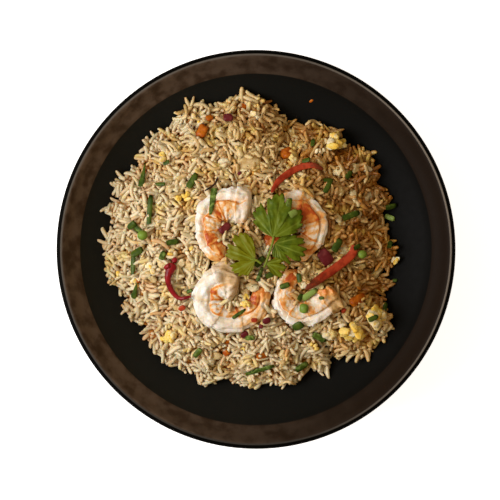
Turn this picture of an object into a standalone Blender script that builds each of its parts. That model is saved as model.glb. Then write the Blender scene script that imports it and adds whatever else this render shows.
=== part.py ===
"""Shrimp fried rice, heaped in a wide stoneware bowl.

The frame is in metres with +Z up. The origin is the middle of the foot ring, on the table, and +Y points
away from the diner. Every size below is in metres, written as millimetres times MM.
"""

import math
from dataclasses import dataclass

import bmesh
import bpy
from mathutils import Matrix, Vector, noise
from mathutils.bvhtree import BVHTree

MM = 0.001
GAP = 0.35 * MM  # clearance kept between pieces that touch
WELD = 0.001 * MM  # points this close are one point
ABOVE_ALL = 200 * MM  # a height over every piece, from which rays look down

# The bowl: a foot ring, a wall that steepens like a power curve, a shoulder, a flared band and a round lip.
BOWL_RADIUS = 120 * MM
BOWL_HEIGHT = 62 * MM
BOWL_SIDES = 48
FLOOR_HEIGHT = 9 * MM
SHOULDER_RADIUS = 106.6 * MM
SHOULDER_HEIGHT = 49 * MM
SHOULDER_STEP = 0.9 * MM
WALL_POWER = 2.6
WALL_STEPS = 7
WALL_THICKNESS = 4.6 * MM
LIP_RADIUS = 2.6 * MM
LIP_FROM, LIP_TO, LIP_STEPS = 135, -45, 4  # degrees round the lip, from the band to the outside
BAND_SAG = 0.7 * MM
FOOT_RADIUS = 50 * MM
FOOT_WIDTH = 6 * MM
FOOT_RECESS = 3 * MM
FOOT_FLARE = 0.6 * MM
FOOT_CHAMFER = 0.5 * MM
FOOT_HEIGHT = 5.2 * MM

# The heap of rice: how far it reaches from the bowl's axis every 15 degrees, anticlockwise from +X.
HEAP_REACH_MM = (85, 84, 86, 88, 87, 80, 91, 91, 95, 91, 91, 94, 90, 90, 84, 87, 86, 80, 84, 84, 83, 91, 93, 81)
HEAP_TOP = 57 * MM
HEAP_EDGE = 3.5 * MM  # how thick the heap is where it ends on the wall
HEAP_POWER = 2.3
HEAP_SIDES = 48
HEAP_RINGS = 9
HEAP_UNDER_RINGS = 5
HEAP_UNDER_REACH = 0.975  # reach of the underside's outer ring over the heap's own
HEAP_UNDER_SPREAD = 0.6  # below 1, the underside's rings lie closer together towards the wall
CLUMP_SIZE = 17 * MM
CLUMP_HEIGHT = 2.2 * MM
OUTLINE_CLUMP = 2.5 * MM
OUTLINE_CLUMPS = 7  # how closely the outline's small clumps follow each other

# Shrimp: abdomen segments, each a little wider at its rear edge, and a cut along the back.
SHRIMP_SEGMENTS = 6
SHRIMP_SIDES = 12
SHRIMP_TAPER = 1.3  # how late the body narrows to the tail
SHRIMP_FLATNESS = 0.62  # half height over half width of a shrimp that lies on its side
SHRIMP_SINK = 2.8 * MM
SHRIMP_ROOM = 1.6 * GAP  # how much wider than the shrimp its hollow in the rice is
NECK_GIRTH = 0.86
TAIL_GIRTH = 0.7
BELLY_SHARE = 0.6  # how near the belly comes to the middle of the curl's bend
SEGMENT_FLARE = 0.07
BACK_CUT_DEPTH = 0.16
BACK_CUT_ANGLE = math.radians(52)
BACK_CUT_WIDTH = math.radians(24)

# Leaves: the notches between the lobes, the teeth, and how the blades fall away from their crown.
LEAF_NOTCH = 0.7
LEAF_TEETH = 14
LEAF_STEPS = 24
LEAF_TOOTH = 0.06
LEAF_THICKNESS = 0.9 * MM
LEAF_DROOP = 7.0  # fall in metres for each square metre from the crown
STEM_RADIUS = 0.75 * MM
STEM_SIDES, STEM_RINGS = 6, 8

# The chilli strips' mesh, and where along them they are full and start to taper.
STRIP_SIDES, STRIP_RINGS = 8, 8
STRIP_FULL_AT = 0.35
STRIP_TAPER_FROM = 0.45
STRIP_TIP = 0.25  # width of the far end over the middle's

# Cut bits.
ONION_TUBE_SIDES = 8
ONION_TUBE_FLATNESS = 0.62
EGG_FLATNESS = 0.55
EGG_UNEVENNESS = 0.28
EGG_LUMPS = 3.1
CARROT_FLATNESS = 0.6
CARROT_SLANT = (0.18, 0.25)  # how far a cut leans along the chunk for its width and its height
CARROT_EDGE = 0.5 * MM
LAYER_RADIUS = 1.1  # an onion layer's radius over the length of its piece
LAYER_THICKNESS = 1.7 * MM
LAYER_NARROWING = 0.25

COLOURS = {
    "glaze": ((0.012, 0.010, 0.008), 0.35),
    "rice": ((0.62, 0.44, 0.22), 0.6),
    "shrimp": ((0.85, 0.52, 0.33), 0.4),
    "coriander": ((0.10, 0.22, 0.02), 0.5),
    "spring_onion": ((0.04, 0.14, 0.03), 0.4),
    "chilli": ((0.40, 0.03, 0.02), 0.3),
    "egg": ((0.85, 0.62, 0.16), 0.55),
    "carrot": ((0.75, 0.20, 0.02), 0.45),
    "onion": ((0.70, 0.52, 0.28), 0.4),
    "red_onion": ((0.22, 0.02, 0.06), 0.4),
}


@dataclass(frozen=True)
class Shrimp:
    """A peeled shrimp that lies curled on its side."""

    name: str
    curl: tuple  # the body's middle line from the neck to the tail, x and y in millimetres
    neck: float  # half width at the neck, in millimetres
    tail: float  # half width at the tail, in millimetres
    back: int  # 1 if the back is left of the way from neck to tail, -1 if it is right of it


SHRIMPS = (
    Shrimp(
        "shrimp_1",
        (
            ((-5, 23), (-12, 25.5), (-20, 26), (-26.5, 22))
            + ((-28.5, 15), (-28, 8), (-25.5, 1.5), (-21, -4))
        ),
        neck=9.6,
        tail=5.2,
        back=-1,
    ),
    Shrimp(
        "shrimp_2",
        (
            ((14.5, 26), (24, 26), (32, 21), (35, 13.5), (32.5, 5.5))
            + ((26, 0.5), (18, -0.5), (10.5, 3.5), (5.5, 8.5))
        ),
        neck=8.8,
        tail=5.0,
        back=1,
    ),
    Shrimp(
        "shrimp_3",
        (
            ((-10, -20.5), (-20, -20), (-27.5, -25.5), (-28, -34), (-22, -40.5))
            + ((-12, -42), (-2.5, -37.5), (2.5, -30), (3, -22.5))
        ),
        neck=10.2,
        tail=5.4,
        back=-1,
    ),
    Shrimp(
        "shrimp_4",
        (
            ((49.5, -26.5), (42, -31.5), (33.5, -37), (24.5, -38.5))
            + ((18, -34), (17, -26.5), (20, -19), (26, -13))
        ),
        neck=8.6,
        tail=4.8,
        back=1,
    ),
)


@dataclass(frozen=True)
class Strip:
    """A strip of red chilli that lies along a curve."""

    name: str
    line: tuple  # x and y in millimetres
    width: float  # full width at the middle, in millimetres
    thickness: float
    blunt: float  # width of the first end over the middle's


STRIPS = (
    Strip("chilli_1", ((9, 34), (14.5, 42), (24, 48.5), (33, 51), (41, 48.5)), 3.8, 2.0, 0.6),
    Strip("chilli_2", ((59, 3), (58, -3), (49, -10.5), (38, -18), (29.5, -24)), 5.2, 2.2, 0.5),
    Strip("chilli_3", ((-50, -9.5), (-53, -17), (-51, -24.5), (-46, -29.5), (-40.5, -28)), 4.0, 2.8, 1.5),
)


@dataclass(frozen=True)
class Bit:
    """A small topping: where it lies, which way it points and its size, in millimetres and degrees."""

    x: float
    y: float
    turn: float
    length: float
    width: float
    end: float = 1.0  # width of the far end over the near end's


SPRING_ONIONS = (
    Bit(-26.2, 28.6, -98, 16, 2.6, 1.9),
    Bit(-64.2, 24.0, 86, 17, 3.2),
    Bit(-68.6, 45.6, 80, 15, 4.6, 0.6),
    Bit(-74.6, -8.8, 88, 12, 3.0),
    Bit(-73.6, -25.0, 76, 10, 4.4, 0.7),
    Bit(2.6, -73.6, 17, 18, 2.8),
    Bit(49.0, 2.5, 60, 8, 4.6),
    Bit(57.5, 20.6, 20, 11, 3.8),
    Bit(38.5, -53.4, -25, 8, 4.2),
    Bit(43.5, 38.0, 62, 9, 3.2),
    Bit(28.0, -71.8, 30, 8, 4.2),
    Bit(-72.5, 13.0, -45, 9, 3.6),
)
EGGS = (
    Bit(48.5, 63.5, 75, 13, 9),
    Bit(58.0, -50.5, -10, 13, 8),
    Bit(74.5, -41.5, 70, 12, 10),
    Bit(-53.0, -53.5, 20, 9, 7),
)
CARROTS = (
    Bit(61.5, -30.5, 35, 10, 5.5),
    Bit(-32.5, 71.5, 60, 8, 6.5),
    Bit(18.5, 58.5, 20, 7, 6),
)
ONIONS = (Bit(-4.0, 52.5, 35, 13, 11),)
RED_ONIONS = (Bit(42.0, -4.6, -30, 9.5, 6.5),)


@dataclass(frozen=True)
class Leaflet:
    """One fan-shaped leaflet of coriander: its base and length in millimetres, its direction in degrees."""

    x: float
    y: float
    turn: float
    opening: float  # half of the fan's angle, in degrees
    lobes: int
    length: float
    side: float  # length of the side lobes over the middle lobe's
    lift: float  # height of its base over the leaf's lowest base, in millimetres


SPRIG_LEAFLETS = (
    Leaflet(10.2, 6.6, 82, 66, 3, 27, 0.82, 2.2),
    Leaflet(9.6, 3.6, -15, 50, 3, 21, 0.84, 0.4),
    Leaflet(6.0, -8.4, -26, 50, 3, 11.5, 0.8, 0.4),
)
LONE_LEAFLETS = (Leaflet(-1.6, -6.0, 166, 86, 2, 18, 0.96, 0.0),)
SPRIG_STEM_MM = ((10.6, 8.0, 2.4), (9.6, 3.0, 1.0), (6.4, -7.0, 0.4), (4.6, -11.0, 0.0))
LONE_STEM_MM = ((-3.4, -5.8, 0.0), (0.0, -6.4, 0.0), (3.4, -8.6, -0.2))


# ---------------------------------------------------------------- helpers


def clear_scene():
    """Removes whatever the scene holds."""
    for old in list(bpy.data.objects):
        bpy.data.objects.remove(old)


def material(name):
    """The named finish, made once."""
    found = bpy.data.materials.get(name)
    if found:
        return found
    colour, roughness = COLOURS[name]
    made = bpy.data.materials.new(name)
    made.use_nodes = True
    shader = made.node_tree.nodes["Principled BSDF"]
    shader.inputs["Base Color"].default_value = (*colour, 1.0)
    shader.inputs["Roughness"].default_value = roughness
    shader.inputs["Metallic"].default_value = 0.0
    return made


def finish_object(name, bm, finish):
    """Turns a bmesh into a smooth-shaded object with its faces pointing out."""
    bmesh.ops.remove_doubles(bm, verts=bm.verts, dist=WELD)
    bmesh.ops.recalc_face_normals(bm, faces=bm.faces)
    mesh = bpy.data.meshes.new(name)
    bm.to_mesh(mesh)
    bm.free()
    mesh.shade_smooth()
    mesh.set_sharp_from_angle(angle=math.radians(50))
    mesh.materials.append(material(finish))
    made = bpy.data.objects.new(name, mesh)
    bpy.context.scene.collection.objects.link(made)
    return made


def wrap_grid(name, around, along, place, finish):
    """An object from a grid whose points are put by place(u, v), with u and v from 0 to 1.

    A closed form has place(0, v) equal to place(1, v), and comes to one point at v = 0 and at v = 1.
    """
    bm = bmesh.new()
    bmesh.ops.create_grid(bm, x_segments=around, y_segments=along, size=0.5)
    for vert in bm.verts:
        vert.co = place(vert.co.x + 0.5, vert.co.y + 0.5)
    return finish_object(name, bm, finish)


def smooth_through(values, t, closed=False):
    """The point at t, from 0 to 1, on a Catmull-Rom curve through the values."""
    count = len(values)
    spans = count if closed else count - 1
    position = min(max(t, 0.0), 1.0) * spans
    first = min(int(position), spans - 1)
    f = position - first

    def at(index):
        return values[index % count] if closed else values[min(max(index, 0), count - 1)]

    a, b, c, d = at(first - 1), at(first), at(first + 1), at(first + 2)
    return 0.5 * (2 * b + (c - a) * f + (2 * a - 5 * b + 4 * c - d) * f**2 + (3 * b - a - 3 * c + d) * f**3)


def heading(line, t, step=0.03):
    """The level direction, of length 1, in which a smooth line runs at t."""
    ahead = smooth_through(line, min(t + step, 1.0)) - smooth_through(line, max(t - step, 0.0))
    ahead.z = 0.0
    return ahead.normalized()


def side_of(ahead):
    """The level direction to the left of a level direction."""
    return Vector((-ahead.y, ahead.x, 0))


def tube_ring(v, rings):
    """(place along a tube, 1 or 0) for a row of its grid: 0 is a row that closes an end to one point."""
    ring = round(v * (rings + 2))
    return min(max((ring - 1) / rings, 0.0), 1.0), float(0 < ring < rings + 2)


def planar(points_mm):
    """Points in metres from (x, y) or (x, y, z) in millimetres."""
    return [Vector((*p, 0.0)[:3]) * MM for p in points_mm]


def hide_as_cutter(obj):
    """Leaves a helper out of the model."""
    obj.hide_render = True
    obj.display_type = "WIRE"


def add_boolean(obj, other, operation):
    """Joins or cuts obj with other, by the exact solver."""
    modifier = obj.modifiers.new(f"{operation.lower()}_{other.name}", "BOOLEAN")
    modifier.operation = operation
    modifier.object = other
    modifier.solver = "EXACT"


def tree_of(obj):
    """A search tree of the object as it is shown, in world space."""
    bpy.context.view_layer.update()
    return BVHTree.FromObject(obj, bpy.context.evaluated_depsgraph_get())


def top_at(trees, x, y):
    """The highest surface under a point, or None where nothing lies there."""
    hits = [tree.ray_cast(Vector((x, y, ABOVE_ALL)), Vector((0, 0, -1)))[0] for tree in trees]
    heights = [hit.z for hit in hits if hit]
    return max(heights) if heights else None


def settle(obj, trees, step=0.4 * MM):
    """Lifts or drops an object until it rests on what lies under it, a gap apart, for later ones to rest on."""
    own = tree_of(obj)
    corners = [obj.matrix_world @ Vector(corner) for corner in obj.bound_box]
    low = Vector(map(min, zip(*corners)))
    high = Vector(map(max, zip(*corners)))
    lifts = []
    for i in range(int((high.x - low.x) / step) + 2):
        for j in range(int((high.y - low.y) / step) + 2):
            x, y = low.x + i * step, low.y + j * step
            under = own.ray_cast(Vector((x, y, low.z - MM)), Vector((0, 0, 1)))[0]
            floor = top_at(trees, x, y)
            if under and floor is not None:
                lifts.append(floor - under.z)
    obj.data.transform(Matrix.Translation((0, 0, max(lifts) + GAP)))
    trees.append(tree_of(obj))


# ---------------------------------------------------------------- the bowl


def inner_wall(radius):
    """Height of the bowl's inside at a distance from its axis, up to the shoulder."""
    return FLOOR_HEIGHT + (SHOULDER_HEIGHT - FLOOR_HEIGHT) * (radius / SHOULDER_RADIUS) ** WALL_POWER


def wall_normal(radius):
    """The inside wall's direction into the clay, as (outwards, up)."""
    rise = SHOULDER_HEIGHT - FLOOR_HEIGHT
    slope = rise * WALL_POWER / SHOULDER_RADIUS * (radius / SHOULDER_RADIUS) ** (WALL_POWER - 1)
    length = math.hypot(slope, 1.0)
    return slope / length, -1.0 / length


def lip_points():
    """Points round the lip, whose middle lies one lip radius inside the bowl's reach and height."""
    middle_r, middle_z = BOWL_RADIUS - LIP_RADIUS, BOWL_HEIGHT - LIP_RADIUS
    for i in range(LIP_STEPS + 1):
        angle = math.radians(LIP_FROM + (LIP_TO - LIP_FROM) * i / LIP_STEPS)
        yield middle_r + LIP_RADIUS * math.cos(angle), middle_z + LIP_RADIUS * math.sin(angle)


def bowl_profile():
    """The half section, as (radius, height), from the middle of the floor to the middle of the underside."""
    radii = [SHOULDER_RADIUS * i / WALL_STEPS for i in range(WALL_STEPS + 1)]
    inside = [(radius, inner_wall(radius)) for radius in radii]
    band_foot = (SHOULDER_RADIUS + 0.5 * SHOULDER_STEP, SHOULDER_HEIGHT + SHOULDER_STEP)
    lip = list(lip_points())
    band_middle = (
        (band_foot[0] + lip[0][0]) / 2 + 0.5 * BAND_SAG,
        (band_foot[1] + lip[0][1]) / 2 - BAND_SAG,
    )
    outside = []
    for radius in reversed(radii):
        out, up = wall_normal(radius)
        if radius > FOOT_RADIUS:
            outside.append((radius + WALL_THICKNESS * out, inner_wall(radius) + WALL_THICKNESS * up))
    foot = [
        (FOOT_RADIUS + FOOT_FLARE, FOOT_HEIGHT),
        (FOOT_RADIUS, FOOT_CHAMFER),
        (FOOT_RADIUS - FOOT_CHAMFER, 0.0),
        (FOOT_RADIUS - FOOT_WIDTH, 0.0),
        (FOOT_RADIUS - FOOT_WIDTH - FOOT_FLARE, FOOT_RECESS),
        (0.0, FOOT_RECESS),
    ]
    return inside + [band_foot, band_middle] + lip + outside + foot


def build_bowl():
    """The bowl, turned from its half section."""
    bm = bmesh.new()
    verts = [bm.verts.new((radius, 0, height)) for radius, height in bowl_profile()]
    edges = [bm.edges.new(pair) for pair in zip(verts, verts[1:])]
    bmesh.ops.spin(
        bm,
        geom=verts + edges,
        cent=(0, 0, 0),
        axis=(0, 0, 1),
        angle=2 * math.pi,
        steps=BOWL_SIDES,
        use_merge=True,
    )
    return finish_object("bowl", bm, "glaze")


# ---------------------------------------------------------------- the rice


def heap_reach(angle):
    """How far the heap reaches in a direction, with small clumps along its outline."""
    reach = smooth_through([r * MM for r in HEAP_REACH_MM], (angle / (2 * math.pi)) % 1.0, closed=True)
    ragged = noise.noise(OUTLINE_CLUMPS * Vector((math.cos(angle), math.sin(angle), 0.5)))
    return reach + OUTLINE_CLUMP * ragged


def dome_height(x, y):
    """The heap's height without its clumps."""
    reach = heap_reach(math.atan2(y, x))
    edge = inner_wall(reach) + HEAP_EDGE
    share = min(math.hypot(x, y) / reach, 1.0)
    return HEAP_TOP - (HEAP_TOP - edge) * share**HEAP_POWER


def heap_height(x, y):
    """The heap's height, with clumps."""
    clump = noise.noise(Vector((x, y, 0.0)) / CLUMP_SIZE)
    return dome_height(x, y) + CLUMP_HEIGHT * clump


def place_on_heap(u, v):
    """A point of the heap's skin: v runs from the top's middle over the edge to the underside's middle."""
    rings = HEAP_RINGS + HEAP_UNDER_RINGS
    ring = round(v * rings)
    angle = 2 * math.pi * u
    over = ring <= HEAP_RINGS
    if over:
        share = ring / HEAP_RINGS
    else:
        share = HEAP_UNDER_REACH * ((rings - ring) / (HEAP_UNDER_RINGS - 1)) ** HEAP_UNDER_SPREAD
    radius = share * heap_reach(angle)
    x, y = radius * math.cos(angle), radius * math.sin(angle)
    height = heap_height(x, y) if over else inner_wall(radius) + 2 * GAP
    return Vector((x, y, height))


def build_rice():
    """The heap of rice, which fills the bowl out to its uneven outline."""
    return wrap_grid("rice", HEAP_SIDES, HEAP_RINGS + HEAP_UNDER_RINGS, place_on_heap, "rice")


# ---------------------------------------------------------------- shrimp


def shrimp_stations():
    """(place along the body, share of the full girth) for each ring, from the neck to the tail."""
    stations = [(0.0, 0.0), (0.0, NECK_GIRTH)]
    for segment in range(SHRIMP_SEGMENTS):
        for place, flare in ((0.1, -SEGMENT_FLARE), (0.5, 0.0), (0.9, SEGMENT_FLARE)):
            stations.append(((segment + place) / SHRIMP_SEGMENTS, 1.0 + flare))
    return stations + [(1.0, TAIL_GIRTH), (1.0, 0.0)]


def bend_radius(line, along, step=0.09):
    """Radius of the circle through the line's points a step before, at and a step after a place."""
    middle = min(max(along, step), 1 - step)
    a, b, c = (smooth_through(line, middle + side * step) for side in (-1, 0, 1))
    twice_area = abs((b - a).cross(c - a).z)
    return (a - b).length * (b - c).length * (c - a).length / (2 * twice_area) if twice_area else 1.0


def place_on_shrimp(shrimp, grow):
    """A function that puts the points of a shrimp's skin, or of the same form grown by a gap."""
    line = planar(shrimp.curl)
    stations = shrimp_stations()

    def place(u, v):
        along, girth = stations[round(v * (len(stations) - 1))]
        middle = smooth_through(line, along)
        ahead = heading(line, along)
        back = side_of(ahead) * shrimp.back
        half_width = (shrimp.neck + (shrimp.tail - shrimp.neck) * along**SHRIMP_TAPER) * MM
        half_height = half_width * SHRIMP_FLATNESS
        middle.z = dome_height(middle.x, middle.y) + half_height - SHRIMP_SINK
        if grow and along in (0.0, 1.0):
            middle = middle + ahead * (grow if along else -grow)
        angle = 2 * math.pi * u
        off_cut = abs(angle - BACK_CUT_ANGLE) / BACK_CUT_WIDTH
        girth = girth * (1 - BACK_CUT_DEPTH * max(0.0, 1 - off_cut)) if girth else 0.0
        swell = grow if girth else 0.0
        outward = math.cos(angle)
        room = half_width if outward > 0 else min(half_width, BELLY_SHARE * bend_radius(line, along))
        across = back * outward * (room * girth + swell)
        upward = Vector((0, 0, math.sin(angle) * (half_height * girth + swell)))
        return middle + across + upward

    return place


def build_shrimp(shrimp, rice):
    """A shrimp, sunk a little in the rice, which is cut to leave a gap round it."""
    rings = len(shrimp_stations()) - 1
    body = wrap_grid(shrimp.name, SHRIMP_SIDES, rings, place_on_shrimp(shrimp, 0.0), "shrimp")
    room = wrap_grid(f"{shrimp.name}_room", SHRIMP_SIDES, rings, place_on_shrimp(shrimp, SHRIMP_ROOM), "shrimp")
    hide_as_cutter(room)
    add_boolean(rice, room, "DIFFERENCE")
    return body


# ---------------------------------------------------------------- toppings


def slope_turn(bit, trees, reach=3 * MM):
    """The rotation that lays a bit along the surface under it, pointing its own way."""
    x, y = bit.x * MM, bit.y * MM
    rise_x = top_at(trees, x + reach, y) - top_at(trees, x - reach, y)
    rise_y = top_at(trees, x, y + reach) - top_at(trees, x, y - reach)
    up = Vector((-rise_x, -rise_y, 2 * reach)).normalized()
    ahead = Vector((math.cos(math.radians(bit.turn)), math.sin(math.radians(bit.turn)), 0))
    side = up.cross(ahead).normalized()
    ahead = side.cross(up)
    return Matrix((ahead, side, up)).transposed().to_4x4()


def lay(obj, bit, trees):
    """Turns and moves a bit made at the origin to where it lies, and rests it there."""
    obj.data.transform(slope_turn(bit, trees))
    obj.data.transform(Matrix.Translation((bit.x * MM, bit.y * MM, HEAP_TOP)))
    settle(obj, trees)


def build_spring_onion(name, bit, trees):
    """A cut length of green spring onion, a flattened tube."""
    bm = bmesh.new()
    bmesh.ops.create_cone(
        bm,
        cap_ends=True,
        segments=ONION_TUBE_SIDES,
        radius1=bit.width / 2 * MM,
        radius2=bit.width / 2 * bit.end * MM,
        depth=bit.length * MM,
    )
    bmesh.ops.rotate(bm, verts=bm.verts, matrix=Matrix.Rotation(math.pi / 2, 3, "Y"))
    bmesh.ops.scale(bm, verts=bm.verts, vec=(1, 1, ONION_TUBE_FLATNESS))
    lay(finish_object(name, bm, "spring_onion"), bit, trees)


def build_egg(name, bit, trees):
    """A curd of scrambled egg, uneven all round."""
    bm = bmesh.new()
    bmesh.ops.create_icosphere(bm, subdivisions=2, radius=0.5)
    for vert in bm.verts:
        uneven = noise.noise(vert.co * EGG_LUMPS + Vector((bit.x, bit.y, 0)))
        vert.co = vert.co * (1 + EGG_UNEVENNESS * uneven)
    bmesh.ops.scale(bm, verts=bm.verts, vec=Vector((bit.length, bit.width, EGG_FLATNESS * bit.width)) * MM)
    lay(finish_object(name, bm, "egg"), bit, trees)


def build_carrot(name, bit, trees):
    """A chopped chunk of carrot, cut on the slant."""
    bm = bmesh.new()
    bmesh.ops.create_cube(bm, size=1.0)
    bmesh.ops.scale(bm, verts=bm.verts, vec=Vector((bit.length, bit.width, CARROT_FLATNESS * bit.width)) * MM)
    for vert in bm.verts:
        vert.co.x += CARROT_SLANT[0] * vert.co.y + CARROT_SLANT[1] * vert.co.z
    edges = bm.edges[:]
    bmesh.ops.bevel(bm, geom=edges, offset=CARROT_EDGE, segments=1, profile=0.5, affect="EDGES", material=-1)
    lay(finish_object(name, bm, "carrot"), bit, trees)


def build_onion(name, bit, trees, finish):
    """A square of onion, curved as the layer that it was cut from."""
    layer_radius = LAYER_RADIUS * bit.length * MM
    half_angle = 0.5 / LAYER_RADIUS

    def place(u, v):
        angle = (2 * u - 1) * half_angle
        across = (v - 0.5) * bit.width * MM * (1 - LAYER_NARROWING * u)
        return Vector((layer_radius * math.sin(angle), across, layer_radius * (math.cos(angle) - 1)))

    sheet = wrap_grid(name, 6, 3, place, finish)
    shell = sheet.modifiers.new("thickness", "SOLIDIFY")
    shell.thickness = LAYER_THICKNESS
    shell.offset = 0.0
    lay(sheet, bit, trees)


def build_strip(strip, trees):
    """A strip of chilli that follows the heap, flat and tapering to its far end."""
    line = planar(strip.line)

    def place(u, v):
        along, open_ring = tube_ring(v, STRIP_RINGS)
        middle = smooth_through(line, along)
        middle.z = dome_height(middle.x, middle.y)
        fullness = strip.blunt + (1 - strip.blunt) * min(along / STRIP_FULL_AT, 1.0)
        narrowing = max(0.0, along - STRIP_TAPER_FROM) / (1 - STRIP_TAPER_FROM)
        share = open_ring * fullness * (1 - (1 - STRIP_TIP) * narrowing)
        angle = 2 * math.pi * u
        across = side_of(heading(line, along)) * math.cos(angle) * strip.width / 2 * MM
        upward = Vector((0, 0, math.sin(angle) * strip.thickness / 2 * MM))
        return middle + (across + upward) * share

    settle(wrap_grid(strip.name, STRIP_SIDES, STRIP_RINGS + 2, place, "chilli"), trees)


# ---------------------------------------------------------------- coriander


def leaflet_reach(leaflet, angle):
    """Length of a leaflet from its base at an angle off its middle: its lobes, with teeth."""
    across = 0.5 * (1 + angle / math.radians(leaflet.opening))
    lobe = abs(math.sin(leaflet.lobes * math.pi * across)) ** 0.5
    side = 1 - (1 - leaflet.side) * min(1.5 * abs(2 * across - 1), 1.0)
    tooth = 1 + LEAF_TOOTH * math.cos(LEAF_TEETH * angle)
    return leaflet.length * MM * side * (LEAF_NOTCH + (1 - LEAF_NOTCH) * lobe) * tooth


def build_leaflet(name, leaflet, crown):
    """A thin, fan-shaped leaflet, which falls away from the crown of the whole leaf."""

    def place(u, v):
        angle = (2 * u - 1) * math.radians(leaflet.opening)
        radius = leaflet_reach(leaflet, angle) * (0.04 + 0.96 * v)
        turned = angle + math.radians(leaflet.turn)
        flat = Vector((leaflet.x * MM + radius * math.cos(turned), leaflet.y * MM + radius * math.sin(turned)))
        fall = LEAF_DROOP * (flat - crown).length_squared
        return Vector((*flat, HEAP_TOP + leaflet.lift * MM - fall))

    blade = wrap_grid(name, LEAF_STEPS, 2, place, "coriander")
    shell = blade.modifiers.new("thickness", "SOLIDIFY")
    shell.thickness = LEAF_THICKNESS
    shell.offset = 0.0
    return blade


def build_stem(name, points_mm):
    """A thin round stem through the points."""
    line = planar(points_mm)

    def place(u, v):
        along, open_ring = tube_ring(v, STEM_RINGS)
        middle = smooth_through(line, along) + Vector((0, 0, HEAP_TOP))
        angle = 2 * math.pi * u
        round_it = side_of(heading(line, along)) * math.cos(angle) + Vector((0, 0, math.sin(angle)))
        return middle + round_it * STEM_RADIUS * open_ring

    return wrap_grid(name, STEM_SIDES, STEM_RINGS + 2, place, "coriander")


def apply_modifiers(obj):
    """Replaces the mesh by the one that its modifiers make."""
    bpy.context.view_layer.update()
    made = bpy.data.meshes.new_from_object(obj.evaluated_get(bpy.context.evaluated_depsgraph_get()))
    obj.modifiers.clear()
    obj.data = made


def build_leaf(name, leaflets, stem_mm, trees):
    """A leaf of coriander, its leaflets grown together with their stem, resting on what is under it."""
    leaf = build_stem(name, stem_mm)
    crown = Vector((leaflets[0].x, leaflets[0].y)) * MM
    helpers = []
    for number, leaflet in enumerate(leaflets, start=1):
        blade = build_leaflet(f"{name}_blade_{number}", leaflet, crown)
        hide_as_cutter(blade)
        add_boolean(leaf, blade, "UNION")
        helpers.append(blade)
    apply_modifiers(leaf)
    for helper in helpers:
        bpy.data.objects.remove(helper)
    settle(leaf, trees)


# ---------------------------------------------------------------- assembly


def main():
    """Builds the bowl, then the rice, then what lies on it, from the lowest piece to the highest."""
    clear_scene()
    build_bowl()
    rice = build_rice()
    shrimps = [build_shrimp(shrimp, rice) for shrimp in SHRIMPS]
    trees = [tree_of(rice)] + [tree_of(shrimp) for shrimp in shrimps]
    for number, bit in enumerate(EGGS, start=1):
        build_egg(f"egg_{number}", bit, trees)
    for number, bit in enumerate(CARROTS, start=1):
        build_carrot(f"carrot_{number}", bit, trees)
    for number, bit in enumerate(ONIONS, start=1):
        build_onion(f"onion_{number}", bit, trees, "onion")
    for number, bit in enumerate(RED_ONIONS, start=1):
        build_onion(f"red_onion_{number}", bit, trees, "red_onion")
    for strip in STRIPS:
        build_strip(strip, trees)
    for number, bit in enumerate(SPRING_ONIONS, start=1):
        build_spring_onion(f"spring_onion_{number}", bit, trees)
    build_leaf("coriander_leaf", LONE_LEAFLETS, LONE_STEM_MM, trees)
    build_leaf("coriander_sprig", SPRIG_LEAFLETS, SPRIG_STEM_MM, trees)


main()
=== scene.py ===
"""Shrimp fried rice in a wide black stoneware bowl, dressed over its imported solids.

Bare sizes are in millimetres and degrees; those written with MM, and what is worked out from them, are in
metres and radians.
"""

import logging
import math
from collections.abc import Callable, Iterable
from dataclasses import dataclass, field
from enum import Enum
from functools import partial

import bmesh
import bpy
import numpy as np
from mathutils import Matrix, Vector, noise

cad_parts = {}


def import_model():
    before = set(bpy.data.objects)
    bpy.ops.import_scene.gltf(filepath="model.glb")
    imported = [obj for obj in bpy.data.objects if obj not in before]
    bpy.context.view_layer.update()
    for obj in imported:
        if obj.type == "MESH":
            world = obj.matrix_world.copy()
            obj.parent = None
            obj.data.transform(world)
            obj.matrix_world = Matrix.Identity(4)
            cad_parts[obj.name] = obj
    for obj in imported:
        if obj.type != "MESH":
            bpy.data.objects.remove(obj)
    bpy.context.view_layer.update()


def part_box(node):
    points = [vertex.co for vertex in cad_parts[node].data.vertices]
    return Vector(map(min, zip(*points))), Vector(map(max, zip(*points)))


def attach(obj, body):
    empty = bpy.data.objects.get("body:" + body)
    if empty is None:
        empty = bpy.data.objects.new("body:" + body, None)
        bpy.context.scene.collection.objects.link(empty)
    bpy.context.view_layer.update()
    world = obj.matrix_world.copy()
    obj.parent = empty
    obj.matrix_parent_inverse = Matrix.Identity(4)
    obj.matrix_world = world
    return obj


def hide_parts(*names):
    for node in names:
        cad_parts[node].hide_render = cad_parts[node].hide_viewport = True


LOG = logging.getLogger("fried_rice")
frozen = dataclass(frozen=True)
MM = 0.001
BODY = "root"

Array = np.ndarray
BMesh = bmesh.types.BMesh
Chance = np.random.Generator
Material = bpy.types.Material
NodeSocket = bpy.types.NodeSocket
NodeTree = bpy.types.NodeTree
Colour = tuple[float, float, float]
Pair = tuple[float, float]
Line = tuple[Pair, ...]
Placed = tuple[Array, dict[str, Array]]
Place = Callable[[Array, Array], Placed]


# Shared sums


def ease(low: float, high: float, value: Array) -> Array:
    """Ease from 0 at low to 1 at high.

    Args:
        low: Where it starts; above high, it runs the other way.
        high: Where it ends.
        value: What is eased.

    Returns:
        Numbers from 0 to 1, in the shape of value.
    """
    share = np.clip((value - low) / (high - low), 0.0, 1.0)
    return share * share * (3 - 2 * share)


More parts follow.
